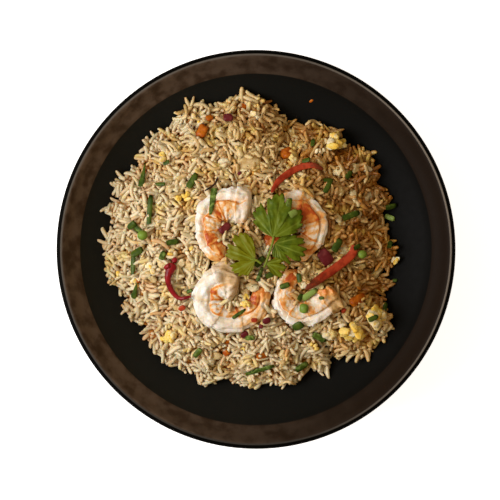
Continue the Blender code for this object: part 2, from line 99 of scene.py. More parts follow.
def through(points: Array, along: Array) -> Array:
    """Follow a smooth curve through points.

    Args:
        points: The points, one a row.
        along: Places on the curve, from 0 to 1.

    Returns:
        The curve's points at those places, one a row.
    """
    rows = np.asarray(points, float)
    rows = np.vstack([2 * rows[0] - rows[1], rows, 2 * rows[-1] - rows[-2]])
    spans = len(rows) - 3
    place = np.clip(along, 0.0, 1.0) * spans
    index = np.minimum(place.astype(int), spans - 1)
    share = (place - index)[:, None]
    a, b, c, d = rows[index], rows[index + 1], rows[index + 2], rows[index + 3]
    curve = 2 * b + (c - a) * share + (2 * a - 5 * b + 4 * c - d) * share**2
    return 0.5 * (curve + (3 * b - a - 3 * c + d) * share**3)


def heading(points: Array, along: Array, step: float = 0.03) -> Array:
    """Find which way a smooth curve runs, seen from above.

    Args:
        points: The points, one a row.
        along: Places on the curve, from 0 to 1.
        step: How far each way the curve is read.

    Returns:
        A level unit direction for each place.
    """
    ahead = through(points, np.minimum(along + step, 1)) - through(points, np.maximum(along - step, 0))
    ahead = ahead[:, :2]
    return ahead / np.linalg.norm(ahead, axis=1, keepdims=True)


def wobble(rows: Array, size: float, seed: float = 0.0) -> Array:
    """Read smooth noise at points.

    Args:
        rows: Points, one a row, with two or three columns.
        size: The length over which the noise changes.
        seed: Moves the noise, so that two readings differ.

    Returns:
        One number from about -1 to 1 for each point.
    """
    full = np.zeros((len(rows), 3))
    full[:, : rows.shape[1]] = rows / size
    full += seed
    return np.array([noise.noise(row) for row in full.tolist()])


def sideways(ahead: Array) -> Array:
    """The level directions to the left of the given ones."""
    return np.stack([-ahead[:, 1], ahead[:, 0]], axis=1)


def turning(turn: float, tilt: float = 0.0, roll: float = 0.0) -> Array:
    """Rotation that rolls about X, lifts X by the tilt, then turns about Z."""
    matrix = Matrix.Rotation(turn, 3, "Z") @ Matrix.Rotation(-tilt, 3, "Y") @ Matrix.Rotation(roll, 3, "X")
    return np.array(matrix)


# Meshes


def sheet_of(across: int, along: int, place: Place) -> BMesh:
    """Lay a grid of faces where a function puts it.

    Args:
        across: Faces along u, from 0 to 1.
        along: Faces along v, from 0 to 1.
        place: Gives the points and masks for arrays of u and v.

    Returns:
        The mesh, closed where its edges meet.
    """
    bm = bmesh.new()
    bmesh.ops.create_grid(bm, x_segments=across, y_segments=along, size=0.5)
    flat = np.array([vert.co for vert in bm.verts]) + 0.5
    points, masks = place(flat[:, 0], flat[:, 1])
    layers = {name: bm.verts.layers.float.new(name) for name in masks}
    for index, vert in enumerate(bm.verts):
        vert.co = points[index]
        for name, layer in layers.items():
            vert[layer] = float(masks[name][index])
    bmesh.ops.remove_doubles(bm, verts=bm.verts, dist=1e-6)
    bmesh.ops.recalc_face_normals(bm, faces=bm.faces)
    return bm


@dataclass
class Shape:
    """A mesh as arrays, ready to be copied many times.

    Args:
        points: The vertices, one a row.
        corners: The vertex at each face corner.
        sizes: How many corners each face has.
    """

    points: Array
    corners: Array
    sizes: Array

    @classmethod
    def of(cls, bm: BMesh) -> "Shape":
        """Read a bmesh into arrays and free it.

        Args:
            bm: The mesh.

        Returns:
            The shape.
        """
        bm.verts.index_update()
        shape = cls(
            np.array([vert.co for vert in bm.verts]),
            np.array([vert.index for face in bm.faces for vert in face.verts]),
            np.array([len(face.verts) for face in bm.faces]),
        )
        bm.free()
        return shape


@dataclass
class Gathered:
    """Many small meshes gathered into one piece, with masks.

    Args:
        name: The piece's name.
    """

    name: str
    points: list[Array] = field(default_factory=list)
    corners: list[Array] = field(default_factory=list)
    sizes: list[Array] = field(default_factory=list)
    masks: dict[str, list[Array]] = field(default_factory=dict)
    count: int = 0

    def add(self, shape: Shape, points: Array, **masks: float) -> None:
        """Add a copy of a shape.

        Args:
            shape: The shape, for its faces.
            points: Where the copy's vertices are.
            masks: One number a mask, or one for each vertex.
        """
        self.points.append(points)
        self.corners.append(shape.corners + self.count)
        self.sizes.append(shape.sizes)
        self.count += len(points)
        for name, value in masks.items():
            self.masks.setdefault(name, []).append(np.broadcast_to(value, len(points)))

    def build(self) -> bpy.types.Object:
        """Join the meshes, with the masks as attributes.

        Returns:
            The piece, not yet in the scene.
        """
        sizes = np.concatenate(self.sizes)
        corners = np.concatenate(self.corners)
        mesh = bpy.data.meshes.new(self.name)
        mesh.vertices.add(self.count)
        mesh.vertices.foreach_set("co", np.concatenate(self.points).astype(np.float32).ravel())
        mesh.loops.add(len(corners))
        mesh.loops.foreach_set("vertex_index", corners.astype(np.int32))
        mesh.polygons.add(len(sizes))
        starts = np.concatenate([[0], np.cumsum(sizes)[:-1]])
        mesh.polygons.foreach_set("loop_start", starts.astype(np.int32))
        mesh.polygons.foreach_set("use_smooth", np.ones(len(sizes), bool))
        for name, parts in self.masks.items():
            layer = mesh.attributes.new(name, "FLOAT", "POINT")
            layer.data.foreach_set("value", np.concatenate(parts).astype(np.float32))
        mesh.update(calc_edges=True)
        return bpy.data.objects.new(self.name, mesh)


def object_of(name: str, bm: BMesh) -> bpy.types.Object:
    """Turn a bmesh into an object with smooth faces, and free it.

    Args:
        name: The object's name.
        bm: The mesh.

    Returns:
        The object, not yet in the scene.
    """
    mesh = bpy.data.meshes.new(name)
    for face in bm.faces:
        face.smooth = True
    bm.to_mesh(mesh)
    bm.free()
    return bpy.data.objects.new(name, mesh)


def dress(piece: bpy.types.Object, material: Material, slot: str, *nodes: str) -> None:
    """Put a piece in the scene, with its finish and what it replaces.

    Args:
        piece: The piece, at the origin.
        material: Its finish.
        slot: The record's material slot; not used.
        nodes: The solids that it replaces.
    """
    piece.data.materials.append(material)
    bpy.context.scene.collection.objects.link(piece)
    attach(piece, BODY)
    if nodes:
        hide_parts(*nodes)
    LOG.info("%s: %d faces", piece.name, len(piece.data.polygons))


# Shader trees


class Graph:
    """Adds and links the nodes of one shader tree."""

    def __init__(self, tree: NodeTree) -> None:
        """Keep the tree and empty it."""
        self.tree = tree
        tree.nodes.clear()

    def add(self, kind: str, inputs: dict | None = None, **settings: object) -> bpy.types.Node:
        """Add a node.

        Args:
            kind: The node's type, without ShaderNode.
            inputs: A value or an output for each input.
            settings: The node's own settings.

        Returns:
            The node.
        """
        node = self.tree.nodes.new(kind if kind.startswith("Node") else f"ShaderNode{kind}")
        for name, value in settings.items():
            setattr(node, name, value)
        for key, value in (inputs or {}).items():
            if isinstance(value, NodeSocket):
                self.tree.links.new(value, node.inputs[key])
            elif isinstance(value, tuple) and len(value) == 3 and node.inputs[key].type == "RGBA":
                node.inputs[key].default_value = (*value, 1.0)
            else:
                node.inputs[key].default_value = value
        return node

    def place(self) -> NodeSocket:
        """The point being shaded, in the object's own frame."""
        return self.add("TexCoord").outputs["Object"]

    def mask(self, name: str) -> NodeSocket:
        """A mask that the mesh carries."""
        return self.add("Attribute", attribute_name=name).outputs["Fac"]

    def maths(self, operation: str, *values: object) -> NodeSocket:
        """Work out a sum in the shader.

        Args:
            operation: The sum's name; with "!" after it, the result is clamped.
            values: Numbers or outputs.

        Returns:
            The result.
        """
        node = self.add("Math", dict(enumerate(values)), operation=operation.rstrip("!"))
        node.use_clamp = operation.endswith("!")
        return node.outputs[0]

    def noise(self, scale: float, detail: float = 3.0, vector: object = None) -> NodeSocket:
        """Cloudy noise about 0.5."""
        inputs = {"Vector": vector or self.place(), "Scale": scale, "Detail": detail}
        return self.add("TexNoise", inputs).outputs["Fac"]

    def ease(self, value: object, low: float, high: float) -> NodeSocket:
        """Ease a value from 0 at low to 1 at high."""
        inputs = {"Value": value, "From Min": low, "From Max": high}
        return self.add("MapRange", inputs, interpolation_type="SMOOTHSTEP").outputs["Result"]

    def mix(self, share: object, first: object, second: object, blend: str = "MIX") -> NodeSocket:
        """Mix two colours, the first at 0 and the second at 1."""
        node = self.add("Mix", {0: share, 6: first, 7: second}, data_type="RGBA", blend_type=blend)
        return node.outputs[2]

    def mix_number(self, share: object, first: float, second: float) -> NodeSocket:
        """Mix two numbers by a share."""
        return self.add("MapRange", {"Value": share, "To Min": first, "To Max": second}).outputs["Result"]

    def ramp(self, value: object, stops: Iterable[tuple[float, Colour]]) -> NodeSocket:
        """Colour a value by a ramp.

        Args:
            value: What is coloured, from 0 to 1.
            stops: The places and colours of the ramp's stops.

        Returns:
            The colour.
        """
        node = self.add("ValToRGB", {"Fac": value})
        elements = node.color_ramp.elements
        for index, (place, colour) in enumerate(stops):
            element = elements[index] if index < len(elements) else elements.new(place)
            element.position = place
            element.color = (*colour, 1.0)
        return node.outputs["Color"]

    @classmethod
    def of_material(cls, name: str) -> tuple[Material, "Graph"]:
        """Start a material.

        Args:
            name: Its name.

        Returns:
            The material and its nodes.
        """
        material = bpy.data.materials.new(name)
        material.use_nodes = True
        return material, cls(material.node_tree)

    def surface(self, inputs: dict) -> None:
        """End a material with one shader."""
        self.add("OutputMaterial", {"Surface": self.add("BsdfPrincipled", inputs).outputs["BSDF"]})

    def group(self, tree: NodeTree, inputs: dict) -> bpy.types.Node:
        """Place a shared node group with its own values."""
        return self.add("Group", inputs, node_tree=tree)


class Socket(Enum):
    """The kinds of socket that a shared group has."""

    NUMBER = "NodeSocketFloat"
    COLOUR = "NodeSocketColor"
    NORMAL = "NodeSocketVector"


class Effects:
    """Effects that finishes share, each a node group built once."""

    def __init__(self) -> None:
        """Build the groups."""
        self.mottle = self._mottle()
        self.relief = self._relief()
        self.specks = self._specks()

    @staticmethod
    def _start(name: str, inputs: dict[str, Socket], outputs: dict[str, Socket]) -> tuple[Graph, dict]:
        """Start a group with named sockets.

        Args:
            name: The group's name.
            inputs: The kind of each input.
            outputs: The kind of each output.

        Returns:
            The group's graph, and its inputs inside it.
        """
        tree = bpy.data.node_groups.new(name, "ShaderNodeTree")
        graph = Graph(tree)
        for label, kind in inputs.items():
            tree.interface.new_socket(label, in_out="INPUT", socket_type=kind.value)
        for label, kind in outputs.items():
            tree.interface.new_socket(label, in_out="OUTPUT", socket_type=kind.value)
        given = graph.add("NodeGroupInput").outputs
        return graph, {label: given[label] for label in inputs}

    def _mottle(self) -> NodeTree:
        """Build soft patches of one colour in another.

        Returns:
            The group.
        """
        kinds = dict.fromkeys(("Scale", "From", "To"), Socket.NUMBER)
        colours = {"Base": Socket.COLOUR, "Patch": Socket.COLOUR}
        outputs = {"Colour": Socket.COLOUR, "Mask": Socket.NUMBER}
        graph, given = self._start("mottle", kinds | colours, outputs)
        mask = graph.ease(graph.noise(given["Scale"], 4.0), given["From"], given["To"])
        graph.add("NodeGroupOutput", {"Colour": graph.mix(mask, given["Base"], given["Patch"]), "Mask": mask})
        return graph.tree

    def _relief(self) -> NodeTree:
        """Build a fine uneven surface.

        Returns:
            The group.
        """
        kinds = dict.fromkeys(("Scale", "Depth", "Strength"), Socket.NUMBER)
        graph, given = self._start("fine_relief", kinds, {"Normal": Socket.NORMAL})
        inputs = {"Strength": given["Strength"], "Distance": given["Depth"]}
        bump = graph.add("Bump", inputs | {"Height": graph.noise(given["Scale"], 3.0)})
        graph.add("NodeGroupOutput", {"Normal": bump.outputs["Normal"]})
        return graph.tree

    def _specks(self) -> NodeTree:
        """Build small scattered dots, as of pepper or of seasoning.

        Returns:
            The group.
        """
        kinds = dict.fromkeys(("Scale", "Size", "Share"), Socket.NUMBER)
        graph, given = self._start("specks", kinds, {"Mask": Socket.NUMBER})
        cells = graph.add("TexVoronoi", {"Vector": graph.place(), "Scale": given["Scale"]})
        near = graph.maths("LESS_THAN", cells.outputs["Distance"], given["Size"])
        lot = graph.add("SeparateColor", {"Color": cells.outputs["Color"]}).outputs[0]
        chosen = graph.maths("LESS_THAN", lot, given["Share"])
        graph.add("NodeGroupOutput", {"Mask": graph.maths("MULTIPLY", near, chosen)})
        return graph.tree


@frozen
class Finish:
    """A moist surface, mottled in two tones over a fine relief.

    Args:
        name: The material's name.
        base: Its main colour.
        patch: The colour of its patches.
        scale: How many patches there are in a metre.
        spread: The noise between which base turns to patch.
        roughness: From 0, mirror, to 1, dull.
        relief: Depth of the fine relief in metres.
        relief_scale: How many bumps there are in a metre.
        coat: Weight of a wet coat over it.
        flesh: How much light goes through it.
        glow: How far light goes in it, in metres.
        shine: How strongly it mirrors light.
    """

    name: str
    base: Colour = (0.5, 0.5, 0.5)
    patch: Colour = (0.4, 0.4, 0.4)
    scale: float = 200.0
    spread: Pair = (0.4, 0.65)
    roughness: float = 0.45
    relief: float = 0.15 * MM
    relief_scale: float = 900.0
    coat: float = 0.0
    flesh: float = 0.0
    glow: float = 1.0 * MM
    shine: float = 0.12

    def colour(self, graph: Graph, effects: Effects) -> NodeSocket:
        """Colour the surface.

        Args:
            graph: The material's nodes.
            effects: The shared groups.

        Returns:
            The colour.
        """
        values = {"Scale": self.scale, "From": self.spread[0], "To": self.spread[1]}
        values |= {"Base": self.base, "Patch": self.patch}
        return graph.group(effects.mottle, values).outputs["Colour"]

    def build(self, effects: Effects) -> Material:
        """Make the material.

        Args:
            effects: The shared groups.

        Returns:
            The material.
        """
        material, graph = Graph.of_material(self.name)
        relief = {"Scale": self.relief_scale, "Depth": self.relief, "Strength": 1.0}
        inputs = {
            "Base Color": self.colour(graph, effects),
            "Roughness": self.roughness,
            "Normal": graph.group(effects.relief, relief).outputs["Normal"],
            "Specular IOR Level": self.shine,
            "Coat Weight": self.coat,
            "Coat Roughness": 0.2,
            "Subsurface Weight": self.flesh,
            "Subsurface Scale": self.glow,
            "Subsurface Radius": (1.0, 0.6, 0.35),
        }
        graph.surface(inputs)
        return material


@frozen
class RiceFinish(Finish):
    """Grains from pale cream through tan to browned, as each one's tone says, with painted shade in both the
    tone and the oil mask.

    Args:
        stops: The colours from the palest tone to the brownest.
        oil_and_shade_brown: The colour of oil and soy sauce in patches, and of painted shade on the grains'
            sides and deep in the heap, where the oil mask says.
        eggy: The colour that egg leaves in patches.
        egg_share: The most that it covers.
        oil_and_shade_share: The most that the oil and the painted shade cover.
        seasoning: The colour of the specks of seasoning.
    """

    stops: tuple[tuple[float, Colour], ...] = (
        (0.0, (0.70, 0.63, 0.43)),
        (0.35, (0.71, 0.565, 0.29)),
        (0.65, (0.50, 0.32, 0.12)),
        (1.0, (0.26, 0.10, 0.02)),
    )
    oil_and_shade_brown: Colour = (0.61, 0.24, 0.016)
    eggy: Colour = (0.78, 0.59, 0.15)
    egg_share: float = 0.55
    oil_and_shade_share: float = 0.93
    seasoning: Colour = (0.05, 0.02, 0.008)

    def colour(self, graph: Graph, effects: Effects) -> NodeSocket:
        """Colour the grains by tone, with oil, painted shade and specks of seasoning.

        Args:
            graph: The material's nodes.
            effects: The shared groups.

        Returns:
            The colour.
        """
        drift = graph.maths("MULTIPLY", graph.maths("SUBTRACT", graph.noise(450.0, 2.0), 0.5), 0.5)
        grain = graph.ramp(graph.maths("ADD!", graph.mask("tone"), drift), self.stops)
        egg = graph.ease(graph.noise(95.0, 4.0), 0.53, 0.66)
        grain = graph.mix(graph.maths("MULTIPLY", egg, self.egg_share), grain, self.eggy)
        # Oil in patches, and painted shade on the grains' sides and deep in the heap.
        grain = graph.mix(graph.maths("MULTIPLY", graph.mask("tint"), self.oil_and_shade_share), grain, self.oil_and_shade_brown)
        specks = graph.group(effects.specks, {"Scale": 330.0, "Size": 0.17, "Share": 0.06}).outputs["Mask"]
        return graph.mix(specks, grain, self.seasoning)


@frozen
class ShrimpFinish(Finish):
    """White cooked flesh, orange where the stain mask says.

    Args:
        blush: The colour of a light stain.
        stain: The colour of a full one.
        neck: The brown of a neck, where the fade mask says.
        deep: The colour of the deepest stains.
    """

    blush: Colour = (0.78, 0.43, 0.145)
    stain: Colour = (0.66, 0.22, 0.035)
    neck: Colour = (0.52, 0.33, 0.14)
    deep: Colour = (0.46, 0.08, 0.012)

    def colour(self, graph: Graph, effects: Effects) -> NodeSocket:
        """Colour mottled flesh that blushes into broken stripes.

        Args:
            graph: The material's nodes.
            effects: The shared groups.

        Returns:
            The colour.
        """
        flesh = graph.mix(graph.mask("fade"), super().colour(graph, effects), self.neck)
        broken = graph.maths("MULTIPLY", graph.maths("SUBTRACT", graph.noise(450.0, 4.0), 0.5), 1.1)
        broken = graph.maths("MULTIPLY", broken, graph.ease(graph.mask("stain"), 0.0, 0.4))
        stain = graph.maths("ADD", graph.mask("stain"), broken)
        colour = graph.mix(graph.ease(stain, 0.02, 0.5), flesh, self.blush)
        colour = graph.mix(graph.ease(stain, 0.42, 0.85), colour, self.stain)
        return graph.mix(graph.ease(stain, 0.9, 1.3), colour, self.deep)


@frozen
class LeafFinish(Finish):
    """A fresh leaf with paler veins.

    Args:
        vein: The colour of its veins.
        young: The colour of a young leaflet.
    """

    vein: Colour = (0.19, 0.25, 0.030)
    young: Colour = (0.15, 0.155, 0.001)

    def colour(self, graph: Graph, effects: Effects) -> NodeSocket:
        """Mottled green with veins, yellower by tone."""
        blade = graph.mix(graph.mask("tone"), super().colour(graph, effects), self.young)
        return graph.mix(graph.maths("MULTIPLY!", graph.mask("vein"), 0.8), blade, self.vein)


@frozen
class TonedFinish(Finish):
    """A finish that runs to another colour by tone.

    Args:
        other: The colour where the tone is 1.
    """

    other: Colour = (0.5, 0.5, 0.5)

    def colour(self, graph: Graph, effects: Effects) -> NodeSocket:
        """Mottled base, mixed with the other colour by tone."""
        blend = graph.maths("ADD!", graph.mask("tone"), graph.maths("SUBTRACT", graph.noise(500.0), 0.5))
        return graph.mix(graph.ease(blend, 0.3, 0.7), super().colour(graph, effects), self.other)


# The bowl


@frozen
class BowlSize:
    """The bowl's measures, as its solid has them.

    Args:
        radius: From the axis to the outside of the lip.
        height: Its height at the lip.
        floor_height: Height of the well's middle.
        shoulder_radius: Where the well ends and the band begins.
        shoulder_height: The well's height there.
        wall_power: How late the well rises towards its shoulder.
        thickness: Thickness of the wall.
        lip: Radius of the rounded lip.
        band_foot: The band's lower edge, as (radius, height).
        band_sag: How far its middle bulges, as (outwards, upwards).
        foot_radius: Where the outside meets the foot ring.
        foot: The foot ring's section, as (radius, height).
        sides: How many sides it is spun with.
    """

    radius: float = 120 * MM
    height: float = 62 * MM
    floor_height: float = 9 * MM
    shoulder_radius: float = 106.6 * MM
    shoulder_height: float = 49 * MM
    wall_power: float = 2.6
    thickness: float = 4.6 * MM
    lip: float = 2.6 * MM
    band_foot: Pair = (107.05 * MM, 49.9 * MM)
    band_sag: Pair = (0.35 * MM, -0.7 * MM)
    foot_radius: float = 50 * MM
    foot: Line = ((50.6, 5.2), (50, 0.5), (49.5, 0), (44, 0), (43.4, 3), (0, 3))
    sides: int = 192

    def wall(self, radius: Array) -> Array:
        """Height of the well's inside at a distance from the axis."""
        rise = self.shoulder_height - self.floor_height
        return self.floor_height + rise * (np.asarray(radius) / self.shoulder_radius) ** self.wall_power


@frozen
class Glaze:
    """Matt black glaze with a mottled brown band and a paler line on the lip, painted lighter on the left and
    darker on the right as light and shade, the line a painted highlight.

    Args:
        black: The well's colour on the left, painted lighter as the light falls there.
        outside_and_shade: The outside's own black, also painted on the right of the well as its shade.
        brown: The band's colour on the left.
        umber: The colour of its patches.
        burnt_and_shaded: The band's colour on the right, painted darker as its shade.
        edge: The paler line's colour, a painted highlight on the lip.
        band: From where to where the brown band runs, from the axis.
        line: From where to where the paler line on the lip runs.
        inside_from: The height over which the rings are coloured.
        soft: How far one ring's colour runs into the next.
    """

    black: Colour = (0.0120, 0.0132, 0.0122)
    outside_and_shade: Colour = (0.0014, 0.0014, 0.0010)
    brown: Colour = (0.119, 0.083, 0.060)
    umber: Colour = (0.050, 0.030, 0.018)
    burnt_and_shaded: Colour = (0.0115, 0.0066, 0.0038)
    edge: Colour = (0.100, 0.088, 0.076)
    band: Pair = (106.7 * MM, 116.5 * MM)
    line: Pair = (116.4 * MM, 117.5 * MM)
    inside_from: float = 48 * MM
    soft: float = 0.25 * MM

    def build(self, effects: Effects) -> Material:
        """Make the material, with rings round the bowl's axis.

        Args:
            effects: The shared groups.

        Returns:
            The material.
        """
        material, graph = Graph.of_material("glaze")
        axes = graph.add("SeparateXYZ", {"Vector": graph.place()}).outputs
        squares = [graph.maths("MULTIPLY", axes[name], axes[name]) for name in ("X", "Y")]
        radius = graph.maths("SQRT", graph.maths("ADD", *squares))
        inside, outside, line_end = (
            graph.ease(radius, ring - self.soft, ring + self.soft) for ring in (*self.band, self.line[1])
        )
        upper = graph.maths("GREATER_THAN", axes["Z"], self.inside_from)
        # Painted light and shade: the well is lighter on the left and darker towards the right.
        black = graph.mix(graph.ease(axes["X"], -0.13, 0.11), self.black, self.outside_and_shade)
        colour = graph.mix(graph.maths("MULTIPLY", inside, upper), black, self._band(graph, effects, axes))
        # The paler line on the lip is a painted highlight.
        colour = graph.mix(graph.maths("MULTIPLY", outside, upper), colour, self._edge(graph, axes))
        colour = graph.mix(line_end, colour, self.outside_and_shade)
        relief = {"Scale": 1500.0, "Depth": 0.08 * MM, "Strength": 0.5}
        inputs = {
            "Base Color": colour,
            "Roughness": graph.mix_number(graph.noise(260.0, 4.0), 0.5, 0.7),
            "Specular IOR Level": graph.mix_number(line_end, 0.09, 0.02),
            "Normal": graph.group(effects.relief, relief).outputs["Normal"],
        }
        graph.surface(inputs)
        return material

    def _band(self, graph: Graph, effects: Effects, axes: object) -> NodeSocket:
        """Colour the band, brown on the left and darker towards the right as painted shade.

        Args:
            graph: The material's nodes.
            effects: The shared groups.
            axes: The outputs that give X and Y.

        Returns:
            The colour.
        """
        values = {"Scale": 120.0, "From": 0.35, "To": 0.68, "Base": self.brown, "Patch": self.umber}
        brown = graph.group(effects.mottle, values).outputs["Colour"]
        across = graph.maths("ADD", axes["X"], graph.maths("MULTIPLY", axes["Y"], -0.1))
        # Painted shade: the band darkens towards the right.
        return graph.mix(graph.ease(across, -0.13, 0.1), brown, self.burnt_and_shaded)

    def _edge(self, graph: Graph, axes: object) -> NodeSocket:
        """Colour the paler line as a painted highlight, brighter towards the right and the far side.

        Args:
            graph: The material's nodes.
            axes: The outputs that give X and Y.

        Returns:
            The colour.
        """
        far = graph.mix_number(graph.ease(axes["Y"], -0.12, 0.03), 0.35, 1.0)
        painted_highlight = graph.maths("ADD", graph.ease(axes["X"], 0.02, 0.12), far)
        grey = graph.add("CombineColor", {0: painted_highlight, 1: painted_highlight, 2: painted_highlight}).outputs["Color"]
        return graph.mix(1.0, self.edge, grey, "MULTIPLY")


@frozen
class Bowl:
    """The wide bowl, spun from one profile.

    Args:
        size: Its measures.
    """

    size: BowlSize

    def profile(self) -> list[Pair]:
        """Draw the section from the well's middle to under the foot.

        Returns:
            Its points, as (radius, height).
        """
        size = self.size
        well = [(r, float(size.wall(r))) for r in np.linspace(0, size.shoulder_radius, 26)]
        middle = (size.radius - size.lip, size.height - size.lip)
        round_lip = [math.radians(angle) for angle in range(135, -46, -15)]
        lip = [(middle[0] + size.lip * math.cos(a), middle[1] + size.lip * math.sin(a)) for a in round_lip]
        half = [(size.band_foot[i] + lip[0][i]) / 2 + size.band_sag[i] for i in (0, 1)]
        band = through([size.band_foot, half, lip[0]], np.linspace(0, 1, 7))[:-1]
        outside = []
        steepest = (size.shoulder_height - size.floor_height) * size.wall_power / size.shoulder_radius
        for r in np.linspace(size.shoulder_radius, size.foot_radius, 14, endpoint=False):
            slope = steepest * (r / size.shoulder_radius) ** (size.wall_power - 1)
            scale = size.thickness / math.hypot(slope, 1)
            outside.append((r + scale * slope, float(size.wall(r)) - scale))
        foot = [(r * MM, z * MM) for r, z in size.foot]
        return [*well, *map(tuple, band), *lip, *outside, *foot]

    def build(self, effects: Effects) -> None:
        """Spin the section and glaze it.

        Args:
            effects: The shared groups.
        """
        bm = bmesh.new()
        verts = [bm.verts.new((r, 0, z)) for r, z in self.profile()]
        edges = [bm.edges.new(pair) for pair in zip(verts, verts[1:])]
        turn = {"cent": (0, 0, 0), "axis": (0, 0, 1), "angle": math.tau, "steps": self.size.sides}
        bmesh.ops.spin(bm, geom=verts + edges, use_merge=True, **turn)
        bmesh.ops.remove_doubles(bm, verts=bm.verts, dist=1e-6)
        bmesh.ops.recalc_face_normals(bm, faces=bm.faces)
        piece = object_of("stoneware_bowl", bm)
        piece.data.set_sharp_from_angle(angle=math.radians(40))
        dress(piece, Glaze().build(effects), "glaze", "bowl")


# The heap


@frozen
class HeapSize:
    """The heap's measures, as its solid has them, and its ragged outline.

    Args:
        reach: Distance of its outline from the axis every 15 degrees from +X.
        top: Height of its middle.
        edge: Height of its outline over the wall.
        power: How its height falls towards its outline.
        clump: Breadth of its clumps.
        clump_height: Their height.
        knobs: Breadth and height of the smaller lumps.
        ragged: Where grains stick out or leave a bay, as (degrees, distance).
        layer: Depth of the separate grains over the core.
        rough: How uneven the core is.
        shoulder: How far the grains stand over the wall at the outline.
        cliff: How steeply they may rise from there.
    """

    reach: tuple[float, ...] = (
        (85, 84, 86, 88, 87, 80, 91, 91, 95, 91, 91, 94) + (90, 90, 84, 87, 86, 80, 84, 84, 83, 91, 93, 81)
    )
    top: float = 57 * MM
    edge: float = 3.5 * MM
    power: float = 2.3
    clump: float = 17 * MM
    clump_height: float = 1.7 * MM
    knobs: Pair = (11 * MM, 4.3 * MM)
    ragged: Line = (
        (0, 84), (15, 78), (20, 88), (28, 84), (35, 88.5), (40, 91), (50, 81), (55, 88), (65, 84), (75, 79),
        (90, 94), (95, 95), (105, 91), (115, 98), (125, 91), (135, 93), (145, 88), (155, 95), (160, 89),
        (165, 95), (170, 87), (175, 92), (190, 91.5), (200, 84), (205, 88.5), (215, 83), (230, 89),
        (240, 84), (250, 87), (255, 79), (265, 84), (275, 82), (285, 85), (295, 80), (300, 88), (305, 77),
        (315, 93), (330, 95), (340, 79.5), (345, 86), (350, 75), (355, 88),
    )
    layer: float = 6 * MM
    rough: float = 0.9 * MM
    shoulder: float = 2.2 * MM
    cliff: float = 1.3


class Heap:
    """How high the rice should stand at any point."""

    def __init__(self, size: HeapSize, bowl: BowlSize) -> None:
        """Keep the measures, and close the ring of reaches.

        Args:
            size: The heap's measures.
            bowl: The bowl that it lies in.
        """
        self.size = size
        self.bowl = bowl
        self.ring = np.array(size.reach[-1:] + size.reach + size.reach[:2])[:, None] * MM
        degrees, reach = np.array(size.ragged).T
        self.ragged_at = degrees
        self.ragged_reach = reach * MM

    def reach(self, angle: Array) -> Array:
        """Measure the smooth outline.

        Args:
            angle: Angles round from +X in radians.

        Returns:
            Its distances from the axis.
        """
        count = len(self.size.reach)
        place = (np.mod(angle, math.tau) / math.tau * count + 1) / (len(self.ring) - 1)
        return through(self.ring, place)[:, 0]

    def outline(self, angle: Array) -> Array:
        """Distance of the ragged outline from the axis."""
        return np.interp(np.degrees(np.mod(angle, math.tau)), self.ragged_at, self.ragged_reach, period=360)

    def dome(self, flat: Array) -> Array:
        """Measure the smooth dome.

        Args:
            flat: Level points, one a row.

        Returns:
            Its heights over the table.
        """
        far = np.hypot(flat[:, 0], flat[:, 1])
        reach = self.reach(np.arctan2(flat[:, 1], flat[:, 0]))
        edge = self.bowl.wall(reach) + self.size.edge
        return self.size.top - (self.size.top - edge) * np.minimum(far / reach, 1) ** self.size.power

    def target(self, flat: Array) -> Array:
        """Find the height that the grains should fill to.

        Args:
            flat: Level points, one a row.

        Returns:
            The heights over the table.
        """
        far = np.hypot(flat[:, 0], flat[:, 1])
        wall = self.bowl.wall(far)
        spare = self.outline(np.arctan2(flat[:, 1], flat[:, 0])) - far
        lumpy = self.dome(flat) + self.size.clump_height * wobble(flat, self.size.clump)
        lumpy += self.size.knobs[1] * (2 * np.abs(wobble(flat, self.size.knobs[0], 5.0)) - 0.5)
        least = wall + 2.6 * MM
        most = wall + self.size.shoulder + self.size.cliff * spare
        return np.where(spare > 0, np.minimum(np.maximum(lumpy, least), most), wall - 1 * MM)

    def build_core(self, effects: Effects) -> None:
        """Make the rough core that the grains cover, painted dark brown as the shade in the gaps between
        them.

        Args:
            effects: The shared groups.
        """
        # Painted shade: the core is darker than the grains, for the shade seen in the gaps.
        brown, dark = (0.34, 0.17, 0.055), (0.16, 0.07, 0.02)
        finish = Finish("rice_core", brown, dark, 400.0, (0.35, 0.6), roughness=0.6, relief=0.5 * MM)
        core = object_of("rice_core", sheet_of(150, 240, self._place_core))
        dress(core, finish.build(effects), "rice", "rice")

    def _place_core(self, u: Array, v: Array) -> Placed:
        """Shape the core, closed by an underside.

        Args:
            u: From the middle out over the top, and back under it.
            v: Round from +X.

        Returns:
            The core's points, and no masks.
        """
        angle = v * math.tau
        topside = u < 0.6
        share = np.where(topside, u / 0.6, (1 - u) / 0.4)
        far = share * (self.outline(angle) - 7 * MM)
        flat = np.stack([far * np.cos(angle), far * np.sin(angle)], axis=1)
        wall = self.bowl.wall(far) + 0.4 * MM
        rough = self.size.rough
        top = self.target(flat) - self.size.layer
        top += rough * wobble(flat, 2.2 * MM, 3.0) + rough * wobble(flat, 5 * MM, 7.0)
        z = np.where(topside & (share < 0.995), np.maximum(top, wall + 0.3 * MM), wall)
        return np.column_stack([flat, z]), {}


